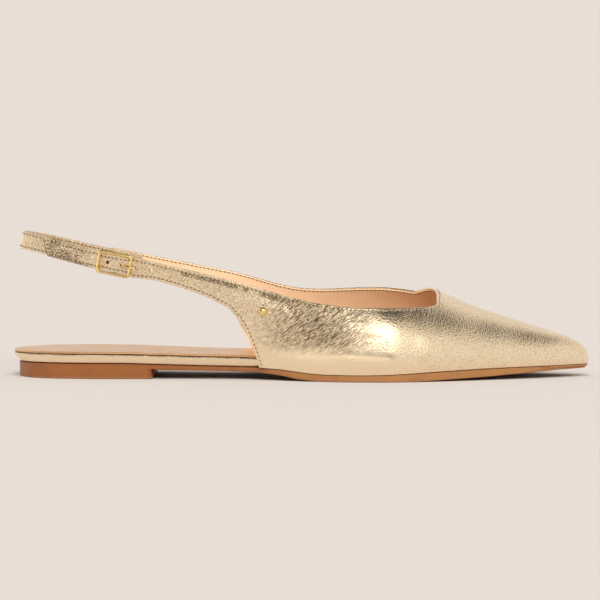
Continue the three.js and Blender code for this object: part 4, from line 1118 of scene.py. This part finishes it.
for material, length, width, flat, shift in (
    (thread, group_in["Thread Length"], group_in["Thread Width"], 0.7, 0.0),
    (shade_in_holes, group_in["Hole Width"], group_in["Hole Width"], 0.4, 0.5),
):
    bead = add_node(tree, "GeometryNodeMeshUVSphere", {"Segments": 8, "Rings": 6, "Radius": 0.5}).outputs["Mesh"]
    size = add_node(tree, "ShaderNodeCombineXYZ", {
        "X": length, "Y": width, "Z": math_node(tree, "MULTIPLY", width, flat)}).outputs["Vector"]
    move = add_node(tree, "ShaderNodeCombineXYZ", {
        "X": math_node(tree, "MULTIPLY", group_in["Pitch"], shift)}).outputs["Vector"]
    bead = add_node(tree, "GeometryNodeTransform", {
        "Geometry": bead, "Scale": size, "Translation": move}).outputs["Geometry"]
    placed = add_node(tree, "GeometryNodeInstanceOnPoints", {
        "Points": line, "Instance": bead, "Rotation": lying}).outputs["Instances"]
    placed = add_node(tree, "GeometryNodeRealizeInstances", {"Geometry": placed}).outputs["Geometry"]
    placed = add_node(tree, "GeometryNodeSetMaterial", {"Geometry": placed, "Material": material})
    tree.links.new(placed.outputs["Geometry"], made.inputs["Geometry"])
tree.links.new(made.outputs["Geometry"], tree.nodes.new("NodeGroupOutput").inputs["Stitches"])
stitches.modifiers.new("sewn", "NODES").node_group = tree
modifiers_applied(stitches)
stitches.data.shade_smooth()
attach(stitches, "root")

# Buckle: a frame of bright brass wire, with a bar bent down behind the strap at its middle.
frame_corner = 1.9 * mm
bar_below_rail = 0.8 * mm
bar_bend_high, bar_bend_low = 0.5 * mm, 0.15 * mm


def tube(points, radius, aside, closed, sides=20):
    """A round wire along points in one plane; aside is across that plane."""
    points = np.array(points)
    before, after = np.roll(points, 1, axis=0), np.roll(points, -1, axis=0)
    if not closed:
        before[0], after[-1] = points[0], points[-1]
    along = after - before
    along /= np.linalg.norm(along, axis=1)[:, None]
    across = np.cross(along, aside)
    turn = np.linspace(0, 2 * np.pi, sides + 1)[None, :, None]
    ring_points = points[:, None] + radius * (np.cos(turn) * across[:, None] + np.sin(turn) * aside)
    if closed:
        return [np.concatenate([ring_points, ring_points[:1]])]
    caps = []
    for end, sign in ((0, -1), (-1, 1)):
        dome = [(points[end] + (ring_points[end] - points[end]) * math.cos(a)
                 + along[end] * sign * radius * 0.6 * math.sin(a)) for a in np.linspace(0, math.pi / 2, 5)]
        caps.append(np.array(dome))
    return [ring_points, *caps]


half_long = frame_length / 2 - frame_wire / 2
half_wide = frame_width / 2 - frame_wire / 2
bend = frame_corner - frame_wire / 2
outline = [
    at_buckle(ahead * (half_long - bend) + bend * math.cos(math.radians(start + step)),
              up * (half_wide - bend) + bend * math.sin(math.radians(start + step)), frame_out)
    for ahead, up, start in ((1, 1, 0), (-1, 1, 90), (-1, -1, 180), (1, -1, 270))
    for step in range(0, 91, 10)
]
bar_bend = [(0, frame_out), (0, frame_out - bar_below_rail), (0.02, bar_out + bar_bend_high),
            (0.12, bar_out + bar_bend_low), (0.25, bar_out)]
bar = [at_buckle(0, half_wide * math.cos(turn), out) for turn, out in bar_bend]
bar += [at_buckle(0, -half_wide * math.cos(turn), out) for turn, out in bar_bend[::-1]]
buckle = place(weld("buckle_frame_wire", tube(outline, frame_wire / 2, buckle_outwards, True)
                    + tube(bar, bar_radius, buckle_ahead, False)))

brass_wire, tree, shader, place_in_shoe = new_material("brass_wire", metallic=1.0)
worn = noise_node(tree, place_in_shoe, 700.0)
brass = mix_node(tree, worn, (0.83, 0.60, 0.20, 1), (0.95, 0.76, 0.36, 1))
dress(tree, shader, brass, between_node(tree, worn, 0.3, 0.7, 0.1, 0.22), worn, 0.15, 0.03 * mm)
buckle.data.materials.append(brass_wire)
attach(buckle, "root")
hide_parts("buckle_frame")

# Prong: brass wire bent to an eye round the bar, up through the strap's hole and over the front rail.
prong_past = 1.4 * mm
radius = prong_wire / 2
eye_radius = bar_radius + clearance + radius
eye = [at_buckle(eye_radius * math.cos(turn), 0, bar_out + eye_radius * math.sin(turn))
       for turn in np.linspace(0, 2 * math.pi, 33)[:-1]]
rail_top = frame_out + frame_wire / 2 + clearance + radius
under = bar_out + eye_radius
over_strap = rise_at(prong_hole_ahead) + radius
# From the eye, up through the hole and down to its end past the rail: distance ahead and distance out
arm_ahead, arm_out = np.array([
    (eye_radius * 0.3, under - radius * 0.3), (prong_hole_ahead - radius * 2.6, under - radius * 0.5),
    (prong_hole_ahead - radius * 0.2, under + radius * 0.4), (prong_hole_ahead, over_strap - wall / 2),
    (prong_hole_ahead + radius * 0.2, over_strap),
    (prong_hole_ahead + radius * 3, over_strap + (rail_top - over_strap) * 0.7),
    (half_long, rail_top), (half_long + prong_past, rail_top - radius * 0.3),
]).T
run = np.concatenate([[0], np.cumsum(np.hypot(np.diff(arm_ahead), np.diff(arm_out)))])
fine_run = np.linspace(0, run[-1], 49)
arm = [at_buckle(a, 0, o) for a, o in zip(curve_through(run, arm_ahead)(fine_run),
                                          curve_through(run, arm_out)(fine_run))]
prong = place(weld("buckle_prong_wire", tube(eye, radius, buckle_up, True) + tube(arm, radius, buckle_up, False)))
prong.data.materials.append(brass_wire)
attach(prong, "root")
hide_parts("buckle_prong")

# Stud: a plain domed brass rivet through the outer quarter.
stud_at = 116.7 * mm
stud_height = 31.6 * mm
stud_width = 4.2 * mm
stud_rise = 1.5 * mm
beside_stud = 0.5 * mm
stud_ahead = wall_point(stud_at + beside_stud, stud_height) - wall_point(stud_at - beside_stud, stud_height)
stud_up = wall_point(stud_at, stud_height + beside_stud) - wall_point(stud_at, stud_height - beside_stud)
stud_out = np.cross(stud_ahead, stud_up)
stud_out /= np.linalg.norm(stud_out)
stud_up /= np.linalg.norm(stud_up)
stud_ahead = np.cross(stud_up, stud_out)
dome = [(0, 0), (0.96, 0), (1, 0.06), (1, 0.2), (0.96, 0.3)]
dome += [(0.94 * math.cos(a), 0.3 + 0.7 * math.sin(a)) for a in np.linspace(0, math.pi / 2, 12)[1:]]
turn = np.linspace(0, 2 * np.pi, 49)[:, None]
stud_grid = np.array([
    wall_point(stud_at, stud_height) + stud_out * (clearance * 0.2 + (stud_rise + clearance * 0.8) * up)
    + stud_width / 2 * r * (np.cos(turn) * stud_ahead + np.sin(turn) * stud_up)
    for r, up in dome
])
stud = place(weld("stud_dome", [stud_grid]))
stud.data.materials.append(brass_wire)
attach(stud, "root")
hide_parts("stud")

# Studio: a pale floor that runs far back, soft lights and the photograph's camera.
floor_grid = np.array([[(x, y, 0) for y in (-4, 30)] for x in (-12, 12)], float)
floor = place(weld("studio_floor", [floor_grid - to_frame]))

paper = new_material("studio_paper", roughness=0.95, base_color=(0.563, 0.516, 0.482, 1))[0]
floor.data.materials.append(paper)

aim = Vector((-0.00052, 0.000383, 0.035))
azimuth, elevation, distance = math.radians(2), math.radians(3.67), 2.5
camera = bpy.data.objects.new("camera", bpy.data.cameras.new("camera"))
scene.collection.objects.link(camera)
camera.location = aim + distance * Vector((math.sin(azimuth) * math.cos(elevation),
                                           -math.cos(azimuth) * math.cos(elevation), math.sin(elevation)))
camera.rotation_euler = (aim - camera.location).to_track_quat("-Z", "Y").to_euler()
camera.data.lens = 324.2
camera.data.sensor_width = 36
camera.data.clip_end = 100
scene.camera = camera

# Soft light from the front and above and a softer one from overhead; the gold mirrors the room alone
for name, energy, spread, source in (
    ("key_softbox", 1.4, 34, (0.10, -1.0, 0.80)), ("overhead_softbox", 1.7, 50, (0, -0.25, 1)),
):
    light = bpy.data.lights.new(name, "SUN")
    light.energy = energy
    light.angle = math.radians(spread)
    lamp = bpy.data.objects.new(name, light)
    lamp.rotation_euler = Vector(source).to_track_quat("Z", "Y").to_euler()
    lamp.visible_glossy = False
    scene.collection.objects.link(lamp)

# The studio round the shoe: bright paper near the level, a dim ceiling, a dim wall at front left and a lamp
world = bpy.data.worlds.new("studio_room")
world.use_nodes = True
tree = world.node_tree
toward = add_node(tree, "ShaderNodeTexCoord").outputs["Generated"]
way = add_node(tree, "ShaderNodeSeparateXYZ", {"Vector": toward}).outputs


def patch(direction, inner, outer):
    """1 within an angle of a direction and 0 beyond another."""
    length = math.hypot(*direction)
    share = add_node(tree, "ShaderNodeVectorMath", {0: toward, 1: [c / length for c in direction]},
                     operation="DOT_PRODUCT").outputs["Value"]
    return between_node(tree, share, math.cos(math.radians(outer)), math.cos(math.radians(inner)))


low_front = all_of(between_node(tree, way["Y"], -0.3, -0.6), between_node(tree, way["X"], 0.45, 0.1),
                   between_node(tree, way["Z"], 0.36, 0.28), between_node(tree, way["Z"], 0.12, 0.17), 0.85)
front_left = all_of(patch((-0.70, -1, 0.55), 11, 26), between_node(tree, way["Z"], 0.14, 0.20))
glow = all_of(between_node(tree, way["Z"], 0.16, 0.10), between_node(tree, way["X"], 0.2, -0.1))
room = mix_node(tree, patch((0, 0, 1), 32, 39), (0.80, 0.76, 0.71, 1), (0.02, 0.016, 0.012, 1))
room = mix_node(tree, glow, room, (1.30, 1.24, 1.17, 1))
room = mix_node(tree, front_left, room, (0.03, 0.025, 0.02, 1))
room = mix_node(tree, patch((0.10, -1, 0.80), 9, 26), room, (2.8, 2.75, 2.6, 1))
room = mix_node(tree, low_front, room, (0.05, 0.04, 0.03, 1))
tree.links.new(room, tree.nodes["Background"].inputs["Color"])
scene.world = world
scene.view_settings.view_transform = "Standard"

for helper in (upper_outside, upper_lining_face):
    bpy.data.meshes.remove(helper)
